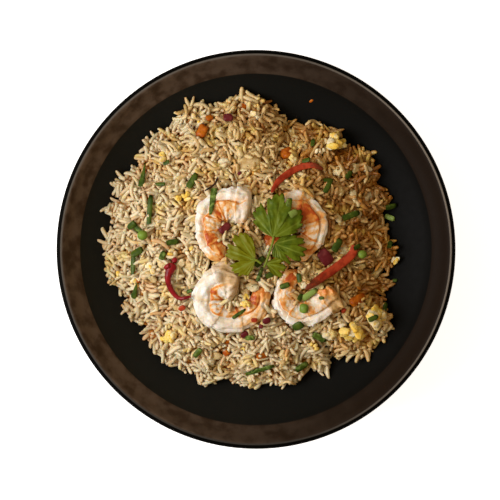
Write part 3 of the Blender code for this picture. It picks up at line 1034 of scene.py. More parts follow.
@dataclass
class Field:
    """Heights of what is laid so far, on a level grid.

    Args:
        heap: The heap whose target the grains fill to.
        cell: The grid's step.
        half: Half of its breadth.
    """

    heap: Heap
    cell: float = 0.5 * MM
    half: float = 104 * MM

    def __post_init__(self) -> None:
        """Start from the core and the bare wall."""
        line = np.arange(-self.half, self.half + self.cell / 2, self.cell)
        self.count = len(line)
        flat = np.stack(np.meshgrid(line, line, indexing="ij"), axis=-1).reshape(-1, 2)
        wall = self.heap.bowl.wall(np.hypot(flat[:, 0], flat[:, 1]))
        coarse = self.heap.target(flat)
        self.aim = coarse.reshape(self.count, self.count)
        self.smooth = np.minimum(self.heap.dome(flat), coarse + self.heap.size.knobs[1] / 2)
        self.smooth = self.smooth.reshape(self.count, self.count)
        self.height = np.maximum(wall, coarse - self.heap.size.layer).reshape(self.count, self.count)
        self.taken = np.zeros_like(self.height, bool)

    def index(self, points: Array) -> tuple[Array, Array]:
        """The grid's cells at points, whose last axis starts with x and y."""
        cells = np.clip(np.rint((points[..., :2] + self.half) / self.cell), 0, self.count - 1).astype(int)
        return cells[..., 0], cells[..., 1]

    def lay(self, points: Array, taken: bool = False) -> None:
        """Raise the heights to a piece's points.

        Args:
            points: The points, one a row.
            taken: Whether later grains are kept off it.
        """
        cells = self.index(points)
        np.maximum.at(self.height, cells, points[..., 2])
        if taken:
            self.taken[cells] = True

    def drop(self, points: Array, share: float, buried: bool) -> float:
        """Find how far a piece has to be lifted to rest on what is there.

        Args:
            points: The piece's points.
            share: The percentage of them that clears what is there.
            buried: Whether it rests on the grains to come instead.

        Returns:
            The lift in metres.
        """
        heights = self.aim if buried else self.height
        return float(np.percentile(heights[self.index(points)] - points[..., 2], share))

    def around(self, x: float, y: float, reach: float, share: float = 70.0) -> float:
        """Read the height near a point.

        Args:
            x, y: The point's place.
            reach: How far round it the heights are read.
            share: Which percentile of them is taken.

        Returns:
            The height in metres.
        """
        grid = np.mgrid[-1:1:7j, -1:1:7j].reshape(2, -1).T * reach + (x, y)
        return float(np.percentile(self.height[self.index(grid)], share))

    def lean(self, x: float, y: float, turn: float, reach: float) -> Pair:
        """Find the slope at a point.

        Args:
            x, y: The point's place.
            turn: The heading along which it is read, in radians.
            reach: How far the slope is read over.

        Returns:
            The tilt along the heading and the roll across it.
        """
        ahead = np.array([math.cos(turn), math.sin(turn)]) * reach
        slopes = []
        for dx, dy in (ahead, (-ahead[1], ahead[0])):
            rise = self.around(x + dx, y + dy, reach / 2) - self.around(x - dx, y - dy, reach / 2)
            slopes.append(math.atan2(rise, 2 * reach))
        return slopes[0], slopes[1]


# The grains


@frozen
class GrainSize:
    """One kind of grain.

    Args:
        length: Its length.
        girth: Its thickness.
        bend: How far it bends, as a share of its length.
        share: Its share of all grains.
    """

    length: float
    girth: float
    bend: float
    share: float


class GrainKind(Enum):
    """The kinds of grain in the heap."""

    STRAIGHT = GrainSize(10.0, 2.65, 0.04, 0.28)
    CURVED = GrainSize(10.6, 2.5, 0.13, 0.25)
    SLENDER = GrainSize(11.2, 2.2, 0.08, 0.18)
    BROKEN = GrainSize(5.0, 2.6, 0.04, 0.19)
    CRUMBLED = GrainSize(2.8, 2.3, 0.0, 0.10)


class Feeler:
    """Points over a lying grain, which feel for what is under it."""

    def __init__(self, blunt: float) -> None:
        """Set out the points of a grain that is one long and one thick.

        Args:
            blunt: How blunt its ends are.
        """
        along, across = np.meshgrid(np.linspace(-0.48, 0.48, 19), np.linspace(-0.4, 0.4, 5))
        self.along, self.across = along.ravel(), across.ravel()
        body = (1 - np.abs(2 * self.along) ** blunt) ** (1 / blunt)
        self.half = 0.5 * np.sqrt(np.maximum(body**2 - (2 * self.across * 0.9) ** 2, 0.02))
        self.tilts = np.radians(np.arange(-36, 37, 9))[:, None]

    def rest(
        self, field: Field, spot: Array, turn: float, length: float, girth: float
    ) -> tuple[float, float, Array]:
        """Find the tilt that lets a grain lie lowest.

        Args:
            field: The heights that it rests on.
            spot: Where its middle is.
            turn: Its heading in radians.
            length: Its length in metres.
            girth: Its thickness in metres.

        Returns:
            The height of its middle, its tilt and the points of its top.
        """
        x, y = spot
        cos, sin = math.cos(turn), math.sin(turn)
        level = self.along * length * np.cos(self.tilts)
        side = self.across * girth
        rise = self.along * length * np.sin(self.tilts)
        spots = np.stack([x + level * cos - side * sin, y + level * sin + side * cos], axis=-1)
        heights = field.height[field.index(spots)]
        lifts = np.percentile(heights - rise + self.half * girth, 54, axis=1)
        pick = int(np.argmin(lifts + 0.4 * MM * np.abs(self.tilts[:, 0])))
        z = float(lifts[pick])
        top = np.column_stack([spots[pick], z + rise[pick] + self.half * girth])
        return z, float(self.tilts[pick, 0]), top


@frozen
class Grains:
    """Cooked long grains, dropped one by one until the heap is filled.

    Args:
        count: The most grains laid.
        tries: Places looked at for each grain.
        most_tries: Grains tried before the laying ends.
        reach: How far from the axis places are looked at.
        lack: The least that has to be lacking at a place.
        spare: How far a grain may stand over the heap's shape.
        blunt: How blunt a grain's ends are; 2 is an ellipse.
        dented: How uneven a grain is.
        wavy: How far it wanders sideways and up.
        flat: Its height over its thickness.
        variants: How many uneven grains there are.
        shade_depth: How deep under the heap's surface the grains are wholly painted in shade.
        rim: How much more painted shade a grain has on its sides than on top.
        burnt_and_shaded: The share of scorched grains, and how much browner they are.
        seed: Starts the chance.
    """

    count: int = 6600
    tries: int = 14
    most_tries: int = 16000
    reach: float = 99 * MM
    lack: float = 0.1 * MM
    spare: float = 2.0 * MM
    blunt: float = 3.0
    dented: float = 0.42
    wavy: Pair = (0.22, 0.16)
    flat: float = 0.92
    variants: int = 12
    shade_depth: float = 2.4 * MM
    rim: float = 0.95
    burnt_and_shaded: Pair = (0.06, 0.35)
    seed: int = 12

    def shape(self, variant: int) -> Shape:
        """Shape one uneven grain, one long and one thick, along X.

        Args:
            variant: Which of the uneven grains.

        Returns:
            The grain.
        """
        bm = bmesh.new()
        lying = Matrix.Rotation(math.pi / 2, 4, "Y")
        bmesh.ops.create_uvsphere(bm, u_segments=7, v_segments=8, radius=0.5, matrix=lying)
        blunt = self.blunt + 0.25 * (variant % 4)
        for vert in bm.verts:
            along = 2 * vert.co.x
            round_part = math.sqrt(max(1 - along * along, 1e-9))
            full_part = (1 - abs(along) ** blunt) ** (1 / blunt) if abs(along) < 1 else 0.0
            dent = noise.noise((along * 1.3, vert.co.y * 1.6, vert.co.z * 1.6 + 7.3 * variant))
            swell = full_part / round_part * (1 + self.dented * dent)
            vert.co.y = vert.co.y * swell + self.wavy[0] * noise.noise((along * 1.1, 3.7 * variant, 0.5))
            vert.co.z = vert.co.z * swell + self.wavy[1] * noise.noise((along * 1.1, 3.7 * variant, 4.5))
        return Shape.of(bm)

    def tone(self, rng: Chance, x: float, y: float) -> float:
        """Choose how brown a grain is, in patches, with painted light and shade across the heap.

        Args:
            rng: The chance.
            x, y: The grain's place.

        Returns:
            Its tone from 0 to 1.
        """
        broad = noise.noise((x / (20 * MM), y / (20 * MM), 4.0))
        patch = 0.34 * broad + 0.36 * noise.noise((x / (8 * MM), y / (8 * MM), 9.0))
        # Browner towards the right and the far side, partly sauce and partly painted shade; paler towards the
        # near side as painted light.
        side = 0.0058 / MM * (x + 0.35 * y) - 0.22 * float(ease(-22 * MM, -42 * MM, y))
        side += 0.2 * float(ease(30 * MM, 52 * MM, x + 0.2 * y))
        burnt_and_shaded = self.burnt_and_shaded[1] if rng.random() < self.burnt_and_shaded[0] else 0.0
        return float(np.clip(0.21 + patch + side + 0.07 * rng.standard_normal() + burnt_and_shaded, 0, 1))

    def tint(
        self, rng: Chance, field: Field, points: Array, upward: Array, x: float, y: float
    ) -> Array:
        """Choose how much oil a grain has in patches, and paint shade on its sides and deep in the heap.

        Args:
            rng: The chance.
            field: The heap.
            points: The grain's points.
            upward: How far each point is over its middle.
            x, y: The grain's place.

        Returns:
            A number from 0 to 1 for each point.
        """
        patch = 0.9 * noise.noise((x / (12 * MM), y / (12 * MM), 21.0)) - 0.1 + 0.12 * rng.standard_normal()
        # Painted shade: browner deep under the heap's smooth surface and on the grain's lower sides.
        deep = (field.smooth[field.index(points)] + 0.2 * MM - points[:, 2]) / self.shade_depth
        return np.clip(max(patch, 0) + np.maximum(deep, 0) + self.rim * np.clip(0.40 - upward, 0, 0.6), 0, 1)

    def spot(self, rng: Chance, field: Field) -> Array | None:
        """Look at some places and choose the one that lacks most rice.

        Args:
            rng: The chance.
            field: What is laid so far.

        Returns:
            The place, or None where none of them lacks any.
        """
        far = self.reach * np.sqrt(rng.random(self.tries))
        angle = math.tau * rng.random(self.tries)
        flat = np.stack([far * np.cos(angle), far * np.sin(angle)], axis=1)
        cells = field.index(flat)
        lack = np.where(field.taken[cells], -1.0, field.aim[cells] - field.height[cells])
        best = int(np.argmax(lack))
        return None if lack[best] < self.lack else flat[best]

    def lay(self, field: Field, material: Material) -> None:
        """Drop the grains and build one piece for each kind.

        Args:
            field: What is laid so far.
            material: The grains' finish.
        """
        rng = np.random.default_rng(self.seed)
        variants = [self.shape(variant) for variant in range(self.variants)]
        kinds = list(GrainKind)
        shares = np.cumsum([kind.value.share for kind in kinds])
        pieces = {kind: Gathered(f"rice_{kind.name.lower()}") for kind in kinds}
        feeler = Feeler(self.blunt)
        laid = 0
        for _ in range(self.most_tries):
            if laid == self.count:
                break
            spot = self.spot(rng, field)
            if spot is None:
                continue
            x, y = spot
            kind = kinds[int(np.searchsorted(shares, rng.random()))]
            length = kind.value.length * MM * rng.normal(1, 0.15)
            girth = kind.value.girth * MM * rng.normal(1, 0.10)
            turn = 7.0 * noise.noise((x / (16 * MM), y / (16 * MM), 2.0)) + rng.normal(0, 0.6)
            z, tilt, top = feeler.rest(field, spot, turn, length, girth)
            if z > field.aim[field.index(spot)] + self.spare:
                continue
            tilt += rng.normal(0, 0.04)
            field.lay(top)
            grain = variants[int(rng.integers(self.variants))]
            points = grain.points * (length, girth, girth * self.flat)
            bend = kind.value.bend * length * (4 * grain.points[:, 0] ** 2 - 0.33)
            points[:, 1] += bend * (1 if rng.random() < 0.5 else -1)
            roll = rng.normal(0, 0.5)
            points = points @ turning(turn, tilt, roll).T + (x, y, z)
            upward = (grain.points @ turning(0.0, 0.0, roll).T)[:, 2]
            # The oil mask also holds painted shade.
            tint = self.tint(rng, field, points, upward, x, y)
            pieces[kind].add(grain, points, tone=self.tone(rng, x, y), tint=tint)
            laid += 1
        for piece in pieces.values():
            dress(piece.build(), material, "rice", "rice")
        LOG.info("%d grains laid", laid)


# The shrimps


@frozen
class ShrimpSize:
    """One curled peeled shrimp, with its colours.

    Args:
        name: The solid that it replaces.
        curl: Its middle line from the neck to the tail.
        neck: Half of its breadth at the neck.
        tail: Half of its breadth at the tail.
        back: 1 if its back is on the left, and -1 if on the right.
        lip: Where the cut along its back shows, from its middle to its edge.
        stain: How orange it is inside the lip.
        tip: How orange its tail is.
        run: How far along it the tail's orange starts.
        warm: How much all of it blushes.
        white: How far from the neck its flesh is plain white.
        fade: How brown and torn its neck is.
        seed: Moves its noise.
    """

    name: str
    curl: Line
    neck: float
    tail: float
    back: int
    lip: float
    stain: float
    tip: float
    run: float
    warm: float
    white: float
    fade: float
    seed: float


SHRIMPS = (
    ShrimpSize(
        "shrimp_1",
        ((-3, 25), (-11.5, 26.5), (-20, 26), (-26.5, 22), (-28.5, 15), (-28, 8), (-25.5, 1.5), (-20, -6.5)),
        neck=10.4, tail=6.0, back=-1, lip=0.45, stain=1.0, tip=0.3, run=0.45,
        warm=0.28, white=0.18, fade=0.0, seed=1.3,
    ),
    ShrimpSize(
        "shrimp_2",
        (
            (14.5, 26), (24, 26), (32, 21), (35, 13.5), (32.5, 5.5), (26, 0.5), (18, -0.5),
            (10.5, 3.5), (5.5, 8.5),
        ),
        neck=8.8, tail=5.0, back=1, lip=0.62, stain=1.0, tip=1.0, run=0.45,
        warm=0.52, white=0.02, fade=0.0, seed=5.1,
    ),
    ShrimpSize(
        "shrimp_3",
        (
            (-10, -20.5), (-20, -20), (-27.5, -25.5), (-28, -34), (-22, -40.5), (-12, -42), (-2.5, -37.5),
            (2.5, -30), (3, -22.5),
        ),
        neck=10.2, tail=5.4, back=-1, lip=0.05, stain=1.15, tip=0.75, run=0.45,
        warm=0.05, white=0.22, fade=0.9, seed=8.7,
    ),
    ShrimpSize(
        "shrimp_4",
        (
            (49.5, -26.5), (42, -31.5), (33.5, -37), (24.5, -38.5), (18, -34), (17, -26.5),
            (20, -19), (26, -13),
        ),
        neck=8.6, tail=4.8, back=1, lip=0.55, stain=0.42, tip=0.8, run=0.66,
        warm=0.24, white=0.02, fade=1.2, seed=12.9,
    ),
)


class ShrimpSkin:
    """What shapes and colours a shrimp's skin."""

    def __init__(self, size: ShrimpSize, segments: int, u: Array, v: Array) -> None:
        """Work it out at places on the skin.

        Args:
            size: The shrimp's own measures.
            segments: How many segments it has.
            u: Round the body, from the back over the top.
            v: Along it, from the neck to the tail.
        """
        self.along = v
        self.out, self.up = np.cos(u * math.tau), np.sin(u * math.tau)
        flat = np.stack([self.out * 10, self.up * 10, v * 60], axis=1) * MM
        self.fine = wobble(flat, 3.0 * MM, size.seed)
        self.coarse = wobble(flat, 8.0 * MM, size.seed + 4)
        self.thread = ease(0.12, 0.02, np.abs(wobble(flat, 5.0 * MM, size.seed + 9)))
        self.section = np.mod(v * segments + 0.10 * np.abs(self.out), 1.0)
        self.seam = ease(0.84, 0.94, self.section) * ease(1.0, 0.97, self.section)
        self.top = ease(-0.1, 0.3, self.up)
        self.body = ease(0.03, 0.12, v) * ease(0.97, 0.82, v)
        cut = size.lip + 0.30 * wobble(np.stack([v, v], axis=1) * 60 * MM, 7 * MM, size.seed)
        self.gap = self.out - (cut + 0.05 * np.sin(v * math.tau * segments))
        self.frill = ease(0.0, 0.35, self.gap) * self.top * self.body
        self.inside = ease(0.02, -0.10, self.gap) * self.top
        self.ridges = np.sin(v * math.tau * segments * 2.5 + 5 * self.out + 2 * self.coarse)


@frozen
class Shrimp:
    """A curled body of segments, cut along its back.

    Args:
        size: Its own measures.
        segments: How many segments it has.
        flatness: Its height over its breadth.
        sink: How deep it lies in the heap.
        room: The widest it reaches inward, over the radius of its bend.
        around: Faces round it.
        rings: Faces along it.
    """

    size: ShrimpSize
    segments: int = 6
    flatness: float = 0.62
    sink: float = 2.8 * MM
    room: float = 0.82
    around: int = 80
    rings: int = 200

    def _swell(self, skin: ShrimpSkin) -> Array:
        """Swell the segments, sink the cut, and ruffle the lip and a torn neck.

        Args:
            skin: The skin's places.

        Returns:
            How much fuller than plain the body is at each.
        """
        v, coarse, fine = skin.along, skin.coarse, skin.fine
        flare = 0.15 * (skin.section**2.2 - 0.4) * ease(0.02, 0.15, v) * ease(1.0, 0.85, v)
        groove = np.exp(-((skin.gap / 0.11) ** 2)) * skin.top * skin.body
        torn = self.size.fade * ease(0.24, 0.04, v) * (0.28 * fine + 0.25 * coarse)
        swell = 1 + flare + 0.15 * coarse + 0.09 * fine - (0.28 + 0.16 * coarse) * groove
        return swell + (skin.frill * (0.05 + 0.10 * fine) + 0.014 * skin.ridges * skin.inside + torn)

    def _form(self, heap: Heap, skin: ShrimpSkin) -> Array:
        """Put the skin round the curl, half sunk in the heap.

        Args:
            heap: What it lies on.
            skin: The skin's places.

        Returns:
            The points.
        """
        size, v, up = self.size, skin.along, skin.up
        curl = np.array(size.curl) * MM
        middle = through(curl, v)
        turn = heading(curl, np.minimum(v + 0.05, 1)) - heading(curl, np.maximum(v - 0.05, 0))
        length = float(np.linalg.norm(np.diff(curl, axis=0), axis=1).sum())
        bend = 0.1 * length / np.maximum(np.linalg.norm(turn, axis=1), 1e-6)
        width = (size.neck + (size.tail - size.neck) * v**1.3) * MM
        taper = np.clip(np.minimum(v / 0.07, (1 - v) / 0.12), 0, 1)
        taper = np.sqrt(np.maximum(1 - (1 - taper) ** 2.4, 0.0))
        swell = self._swell(skin)
        half = width * taper * swell
        inward = np.minimum(half, self.room * bend * (0.9 + 0.1 * swell))
        across = size.back * skin.out * np.where(skin.out > 0, half, inward)
        level = middle + sideways(heading(curl, v)) * across[:, None]
        high = self.flatness * width
        z = heap.dome(middle) + high - self.sink + np.sign(up) * np.abs(up) ** 0.85 * high * taper * swell
        return np.column_stack([level, z])

    def _stain(self, skin: ShrimpSkin) -> Array:
        """Stain the inside of the cut, the seams and the tail.

        Args:
            skin: The skin's places.

        Returns:
            How orange each is.
        """
        size, v, coarse, fine, seam = self.size, skin.along, skin.coarse, skin.fine, skin.seam
        line = np.exp(-(((skin.gap + 0.13) / 0.07) ** 2)) * np.clip(0.6 + 0.9 * coarse + 0.5 * fine, 0.1, 1.2)
        blotch = ease(0.10, 0.45, coarse + 0.5 * fine)
        stripes = 0.14 + 0.60 * seam + 0.80 * blotch + 0.12 * skin.ridges + 0.32 * skin.thread
        pale = ease(size.white - 0.06, size.white + 0.05, v + 0.06 * coarse)
        stain = skin.inside * size.stain * stripes * (0.12 + 0.88 * pale)
        stain += size.stain * (line * skin.top) * skin.body
        stain += 0.12 * seam * size.stain * (1 - skin.inside) * pale
        stain += size.warm * (0.7 + coarse) * (1 - 0.85 * skin.frill)
        stain += 0.70 * size.tip * ease(size.run, 0.95, v) * (0.8 + coarse)
        return np.maximum(stain, size.tip * ease(0.82, 0.95, v + 0.05 * fine))

    def _place(self, heap: Heap, u: Array, v: Array) -> Placed:
        """Shape the body and work out its colour masks.

        Args:
            heap: What it lies on.
            u: Round the body.
            v: Along it.

        Returns:
            The points and the masks.
        """
        skin = ShrimpSkin(self.size, self.segments, u, v)
        neck = ease(0.20, 0.02, v + 0.10 * skin.coarse - 0.05 * skin.out)
        masks = {"stain": np.clip(self._stain(skin), 0, 1.3), "fade": self.size.fade * neck}
        return self._form(heap, skin), masks

    def lay(self, field: Field, material: Material) -> None:
        """Build the shrimp and keep the grains off it.

        Args:
            field: What is laid so far.
            material: Its finish.
        """
        mesh = sheet_of(self.around, self.rings, partial(self._place, field.heap))
        piece = object_of(self.size.name.replace("_", "_meat_"), mesh)
        field.lay(np.array([vert.co for vert in piece.data.vertices]), taken=True)
        dress(piece, material, "shrimp", self.size.name)


# Strips, tubes and lumps


@frozen
class Strip:
    """A bent strip of chilli, onion or herb that lies on the grains.

    Args:
        line: Its middle line.
        width: Its breadth in the middle.
        thick: Its thickness.
        blunt: How blunt its ends are.
        crown: How far its middle stands over its edges.
        head: How much wider its first end is.
        point: How much narrower it gets towards its last end.
        nodes: The solids that it replaces.
        sink: How deep it settles in.
    """

    line: Line
    width: float
    thick: float
    blunt: float = 1.0
    crown: float = 0.12
    head: float = 0.0
    point: float = 0.0
    nodes: tuple[str, ...] = ()
    sink: float = 0.1 * MM

    def mesh(self, field: Field, sides: int = 16, rings: int = 48) -> BMesh:
        """Shape the strip over what lies under it.

        Args:
            field: The heights that it rests on.
            sides: Faces round it.
            rings: Faces along it.

        Returns:
            The mesh.
        """
        line = np.array(self.line) * MM
        stations = through(line, np.linspace(0, 1, 7))
        heights = np.array([field.around(x, y, self.width * 0.6 * MM, 92) for x, y in stations])
        heights[1:-1] = (heights[:-2] + 2 * heights[1:-1] + heights[2:]) / 4
        return sheet_of(sides, rings, partial(self._place, line, heights[:, None]))

    def _place(self, line: Array, heights: Array, u: Array, v: Array) -> Placed:
        """Bend the strip along its line.

        Args:
            line: Its middle line in metres.
            heights: What it rests on, at even steps along it.
            u: Round it.
            v: Along it.

        Returns:
            The points, and a tone that runs towards the last end, where it darkens a chilli as painted shade.
        """
        angle = u * math.tau
        half, deep = self.width / 2 * MM, self.thick / 2 * MM
        ends = np.clip(np.minimum(v, 1 - v) * 2 * max(self.blunt, 1.0), 0, 1)
        taper = np.sqrt(np.maximum(1 - (1 - ends) ** (2 + 3 * self.blunt), 0.0))
        taper = taper * (1 + self.head * np.exp(-((v / 0.14) ** 2))) * (1 - self.point * v)
        middle = through(line, v)
        uneven = 1 + 0.10 * wobble(middle, 4 * MM, 2.0)
        across = np.sign(np.cos(angle)) * np.abs(np.cos(angle)) ** 0.8 * half * taper * uneven
        up = np.sign(np.sin(angle)) * np.abs(np.sin(angle)) ** 0.7 * deep * np.minimum(taper * 1.3, 1)
        crown = self.crown * self.width * MM * (1 - (across / half) ** 2)
        z = through(heights, v)[:, 0] + deep - self.sink + up + crown
        level = middle + sideways(heading(line, v)) * across[:, None]
        # Painted shade: the tone darkens a chilli towards its last end.
        return np.column_stack([level, z]), {"tone": 0.85 * v**2}


@frozen
class Bit:
    """Something small that lies on the grains.

    Each kind has its SINK, how deep it settles in, and its TOP_LIGHT, how much paler its top is painted, as
    painted light.

    Args:
        x, y: Where its middle is.
        turn: Its heading in degrees.
        length: Its length.
        width: Its breadth.
    """

    x: float
    y: float
    turn: float
    length: float
    width: float

    def lay(
        self,
        field: Field,
        piece: Gathered,
        faces: tuple[int, int],
        sink: float | None = None,
        buried: bool = False,
        **masks: float,
    ) -> None:
        """Lay the bit on the heap, leaning as it leans there, and add it to a piece.

        Args:
            field: The heights that it rests on, which it raises and takes.
            piece: What it is gathered into.
            faces: How many faces there are round it and along it.
            sink: How deep it settles in, if not to its kind's SINK.
            buried: Whether grains are laid after it.
            masks: The piece's masks besides the tone.
        """
        shape = Shape.of(sheet_of(*faces, self._place))
        angle = math.radians(self.turn)
        x, y = self.x * MM, self.y * MM
        tilt, roll = field.lean(x, y, angle, max(float(np.ptp(shape.points[:, 0])) / 2, 2 * MM))
        leaning = turning(angle, np.clip(tilt, -0.6, 0.6), np.clip(roll, -0.5, 0.5))
        points = shape.points @ leaning.T + (x, y, 0.0)
        points[:, 2] += field.drop(points, 94, buried) - (self.SINK if sink is None else sink)
        field.lay(points, taken=True)
        # Painted light: the top of the bit is paler.
        rise = (points[:, 2] - points[:, 2].min()) / max(float(np.ptp(points[:, 2])), 1e-6)
        piece.add(shape, points, tone=self.tone + self.TOP_LIGHT * rise, **masks)


@frozen
class Tube(Bit):
    """A hollow cut of spring onion that lies on its side, pressed flat.

    Args:
        end: Its breadth at the far end over that at the near one.
        tone: From 0, dark green, to 1, pale.
        nodes: The solids that it replaces.
        wall: Its wall's thickness, as a share of its radius.
        squash: Its height over its breadth.
    """

    SINK = 0.2 * MM
    TOP_LIGHT = 0.1
    end: float = 1.0
    tone: float = 0.2
    nodes: tuple[str, ...] = ()
    wall: float = 0.28
    squash: float = 0.5

    def _place(self, u: Array, v: Array) -> Placed:
        """Roll the tube about its own middle, along X.

        Args:
            u: Round it.
            v: Along its outside and back along its inside.

        Returns:
            The points, and no masks.
        """
        angle = u * math.tau
        outer = v < 0.5
        share = np.where(outer, v * 2, 2 - 2 * v)
        rim = 1 - 0.5 * np.exp(-(((share - 0.5) ** 2 - 0.25) / 0.03) ** 2) * self.wall
        radius = np.where(outer, rim, 1 - self.wall + 0.1 * (1 - rim)) * (1 + (self.end - 1) * share)
        slant = 0.12 * self.width * np.sin(angle) * (2 * share - 1)
        across, up = radius * np.cos(angle) * self.width / 2, radius * np.sin(angle) * self.width / 2
        points = np.column_stack([(share - 0.5) * self.length + slant, across, up * self.squash])
        points[:, 1:] *= 1 + 0.08 * wobble(points, 3.0, self.x)[:, None]
        return points * MM, {}


@frozen
class Lump(Bit):
    """A rounded lump or chunk: egg, carrot, onion, pea or crumb.

    Args:
        height: Its height.
        square: 1 for an egg shape, towards 0 for a box.
        rough: How uneven it is, as a share of its width.
        grain: The breadth of that unevenness.
        bend: How far its ends drop, as a share of its length.
        tone: Its colour's place between the finish's two.
        proud: How far it is lifted out of the grains.
        nodes: The solids that it replaces.
    """

    SINK = 0.8 * MM
    TOP_LIGHT = 0.0
    height: float
    square: float = 1.0
    rough: float = 0.1
    grain: float = 3.0
    bend: float = 0.0
    tone: float = 0.0
    proud: float = 0.0
    nodes: tuple[str, ...] = ()

    def _place(self, u: Array, v: Array) -> Placed:
        """Round the lump about its own middle.

        Args:
            u: Round it.
            v: From its underside to its top.

        Returns:
            The points, and no masks.
        """
        round_at, rise = u * math.tau, (v - 0.5) * math.pi
        ring = np.cos(rise)
        axes = np.stack([ring * np.cos(round_at), ring * np.sin(round_at), np.sin(rise)], axis=1)
        far = np.sum(np.abs(axes) ** (2 / self.square), axis=1, keepdims=True) ** (self.square / 2)
        points = axes / far * (self.length / 2, self.width / 2, self.height / 2)
        swell = wobble(points, self.grain, self.x) + 0.5 * wobble(points, self.grain / 2.3, self.y)
        points = points * (1 + self.rough * swell[:, None])
        points[:, 2] -= self.bend * self.length * (2 * points[:, 0] / self.length) ** 2
        return points * MM, {}


# The coriander


@frozen
class Leaflet:
    """One leaflet, drawn from its base by how far its lobes and notches reach.

    Args:
        base: Where it starts, over the piece's lowest point.
        outline: Its edge as (degrees round from +X, millimetres from the base).
        lobes: The directions of its lobes, in degrees.
        young: 1 for a yellow-green leaflet.
        thick: Its thickness.
        droop: How much its edge hangs down.
    """

    base: tuple[float, float, float]
    outline: Line
    lobes: tuple[float, ...]
    young: float = 0.0
    thick: float = 0.32 * MM
    droop: float = 6.5

    def _edge(self, angle: Array, clefts: Array, seed: float) -> Array:
        """Round the outline, and cut its teeth and clefts.

        Args:
            angle: Directions from the base in radians.
            clefts: The directions of the clefts in radians.
            seed: Moves the teeth.

        Returns:
            How far the edge is from the base.
        """
        degrees, reach = np.array(self.outline).T
        index = np.clip(np.searchsorted(degrees, np.degrees(angle)), 1, len(degrees) - 1)
        between = (np.degrees(angle) - degrees[index - 1]) / (degrees[index] - degrees[index - 1])
        first, second = reach[index - 1], reach[index]
        rounded = np.clip(np.where(second > first, between, 1 - between), 0, 1)
        edge = np.minimum(first, second) + np.abs(second - first) * np.sin(rounded * math.pi / 2)
        teeth = 0.10 * (1 - np.abs(np.sin(angle * 17 + seed)) ** 0.8)
        apart = np.min(np.abs(angle[:, None] - clefts), axis=1)
        return edge * (1 - teeth) * (1 - 0.26 * np.exp(-((apart / 0.06) ** 2)))

    def _place(self, low: float, seed: float, u: Array, v: Array) -> Placed:
        """Ruffle the blade and fold it along its veins.

        Args:
            low: The lowest height of the coriander.
            seed: Moves its ruffles.
            u: From the base out over the top, and back under it.
            v: Round from the outline's first direction to its last.

        Returns:
            The points and the masks.
        """
        start, end = np.radians([self.outline[0][0], self.outline[-1][0]])
        angle = start + (end - start) * v
        topside = u < 0.5
        share = np.where(topside, 2 * u, 2 - 2 * u)
        axes = np.radians(self.lobes)
        clefts = (axes[:-1] + axes[1:]) / 2
        far = self._edge(angle, clefts, seed) * share * MM
        off = far * np.min(np.abs(angle[:, None] - axes), axis=1)
        flat = np.stack([far * np.cos(angle), far * np.sin(angle)], axis=1)
        past = ease(-0.05, 0.05, angle[:, None] - clefts)
        lobe = np.sum(past * (-1.0) ** np.arange(len(clefts)), axis=1)
        ruffle = 1.3 * MM * share**2 * wobble(flat, 4.0 * MM, seed)
        ruffle += 1.4 * MM * share * wobble(flat, 9 * MM, seed + 3)
        pleats = np.sin(angle * 26 + 9 * wobble(flat, 12 * MM, seed))
        fold = np.minimum(off, 2.5 * MM) * 0.16 + 0.16 * MM * share * pleats
        fold += 0.8 * MM * lobe * ease(0.25, 0.6, share)
        z = low + self.base[2] * MM - self.droop * far**2 + ruffle + fold
        z += np.where(topside, self.thick, 0.0) * ease(1.0, 0.93, share)
        vein = np.exp(-((off / (0.42 * MM)) ** 2)) * ease(1.0, 0.75, share)
        ribs = np.exp(-(((np.mod(far / MM - off / MM * 1.6, 3.4) - 1.7) / 0.45) ** 2))
        vein = np.clip(vein + 0.12 * ribs * ease(0.0, 1.2 * MM, off), 0, 1)
        points = np.column_stack([flat + np.array(self.base[:2]) * MM, z])
        return points, {"vein": vein, "tone": np.full(len(u), self.young)}

    def add(self, piece: Gathered, low: float, seed: float) -> None:
        """Add the blade to a piece.

        Args:
            piece: What it is gathered into.
            low: The lowest height of the coriander.
            seed: Moves its ruffles.
        """
        spread = abs(self.outline[-1][0] - self.outline[0][0])
        bm = sheet_of(44, max(40, int(spread * 1.1)), partial(self._place, low, seed))
        layers = {name: bm.verts.layers.float[name] for name in ("vein", "tone")}
        masks = {name: np.array([vert[layer] for vert in bm.verts]) for name, layer in layers.items()}
        shape = Shape.of(bm)
        piece.add(shape, shape.points, **masks)


@frozen
class Herb:
    """Leaflets on one stem.

    Args:
        name: The solid that it replaces.
        leaflets: Its leaflets.
        stem: Its stem's line, over the piece's lowest point.
        girth: Half of the stem's thickness.
    """

    name: str
    leaflets: tuple[Leaflet, ...]
    stem: tuple[tuple[float, float, float], ...]
    girth: float = 0.7 * MM

    def _place_stem(self, low: float, u: Array, v: Array) -> Placed:
        """Draw out the round stem.

        Args:
            low: The lowest height of the coriander.
            u: Round it.
            v: Along it.

        Returns:
            The points, and no masks.
        """
        line = np.array(self.stem) * MM + (0, 0, low)
        angle = u * math.tau
        girth = self.girth * np.sqrt(np.clip(np.minimum(v, 1 - v) / 0.06, 0, 1))
        points = through(line, v)
        points[:, :2] += sideways(heading(line, v)) * (girth * np.cos(angle))[:, None]
        points[:, 2] += girth * np.sin(angle) + self.girth
        return points, {}

    def lay(self, field: Field, material: Material) -> None:
        """Build the herb between the heights of its solid.

        Args:
            field: What is laid so far.
            material: Its finish.
        """
        low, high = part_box(self.name)
        piece = Gathered(self.name.replace("coriander", "cilantro"))
        for index, leaflet in enumerate(self.leaflets):
            leaflet.add(piece, low.z, 3.7 * index + 1)
        stem = Shape.of(sheet_of(10, 24, partial(self._place_stem, low.z)))
        piece.add(stem, stem.points, vein=0.8, tone=0.4)
        top = max(float(points[:, 2].max()) for points in piece.points)
        for points in piece.points:
            points[:, 2] = low.z + (points[:, 2] - low.z) * min(1.0, (high.z - low.z) / (top - low.z))
        field.lay(np.concatenate(piece.points), taken=True)
        dress(piece.build(), material, "coriander", self.name)


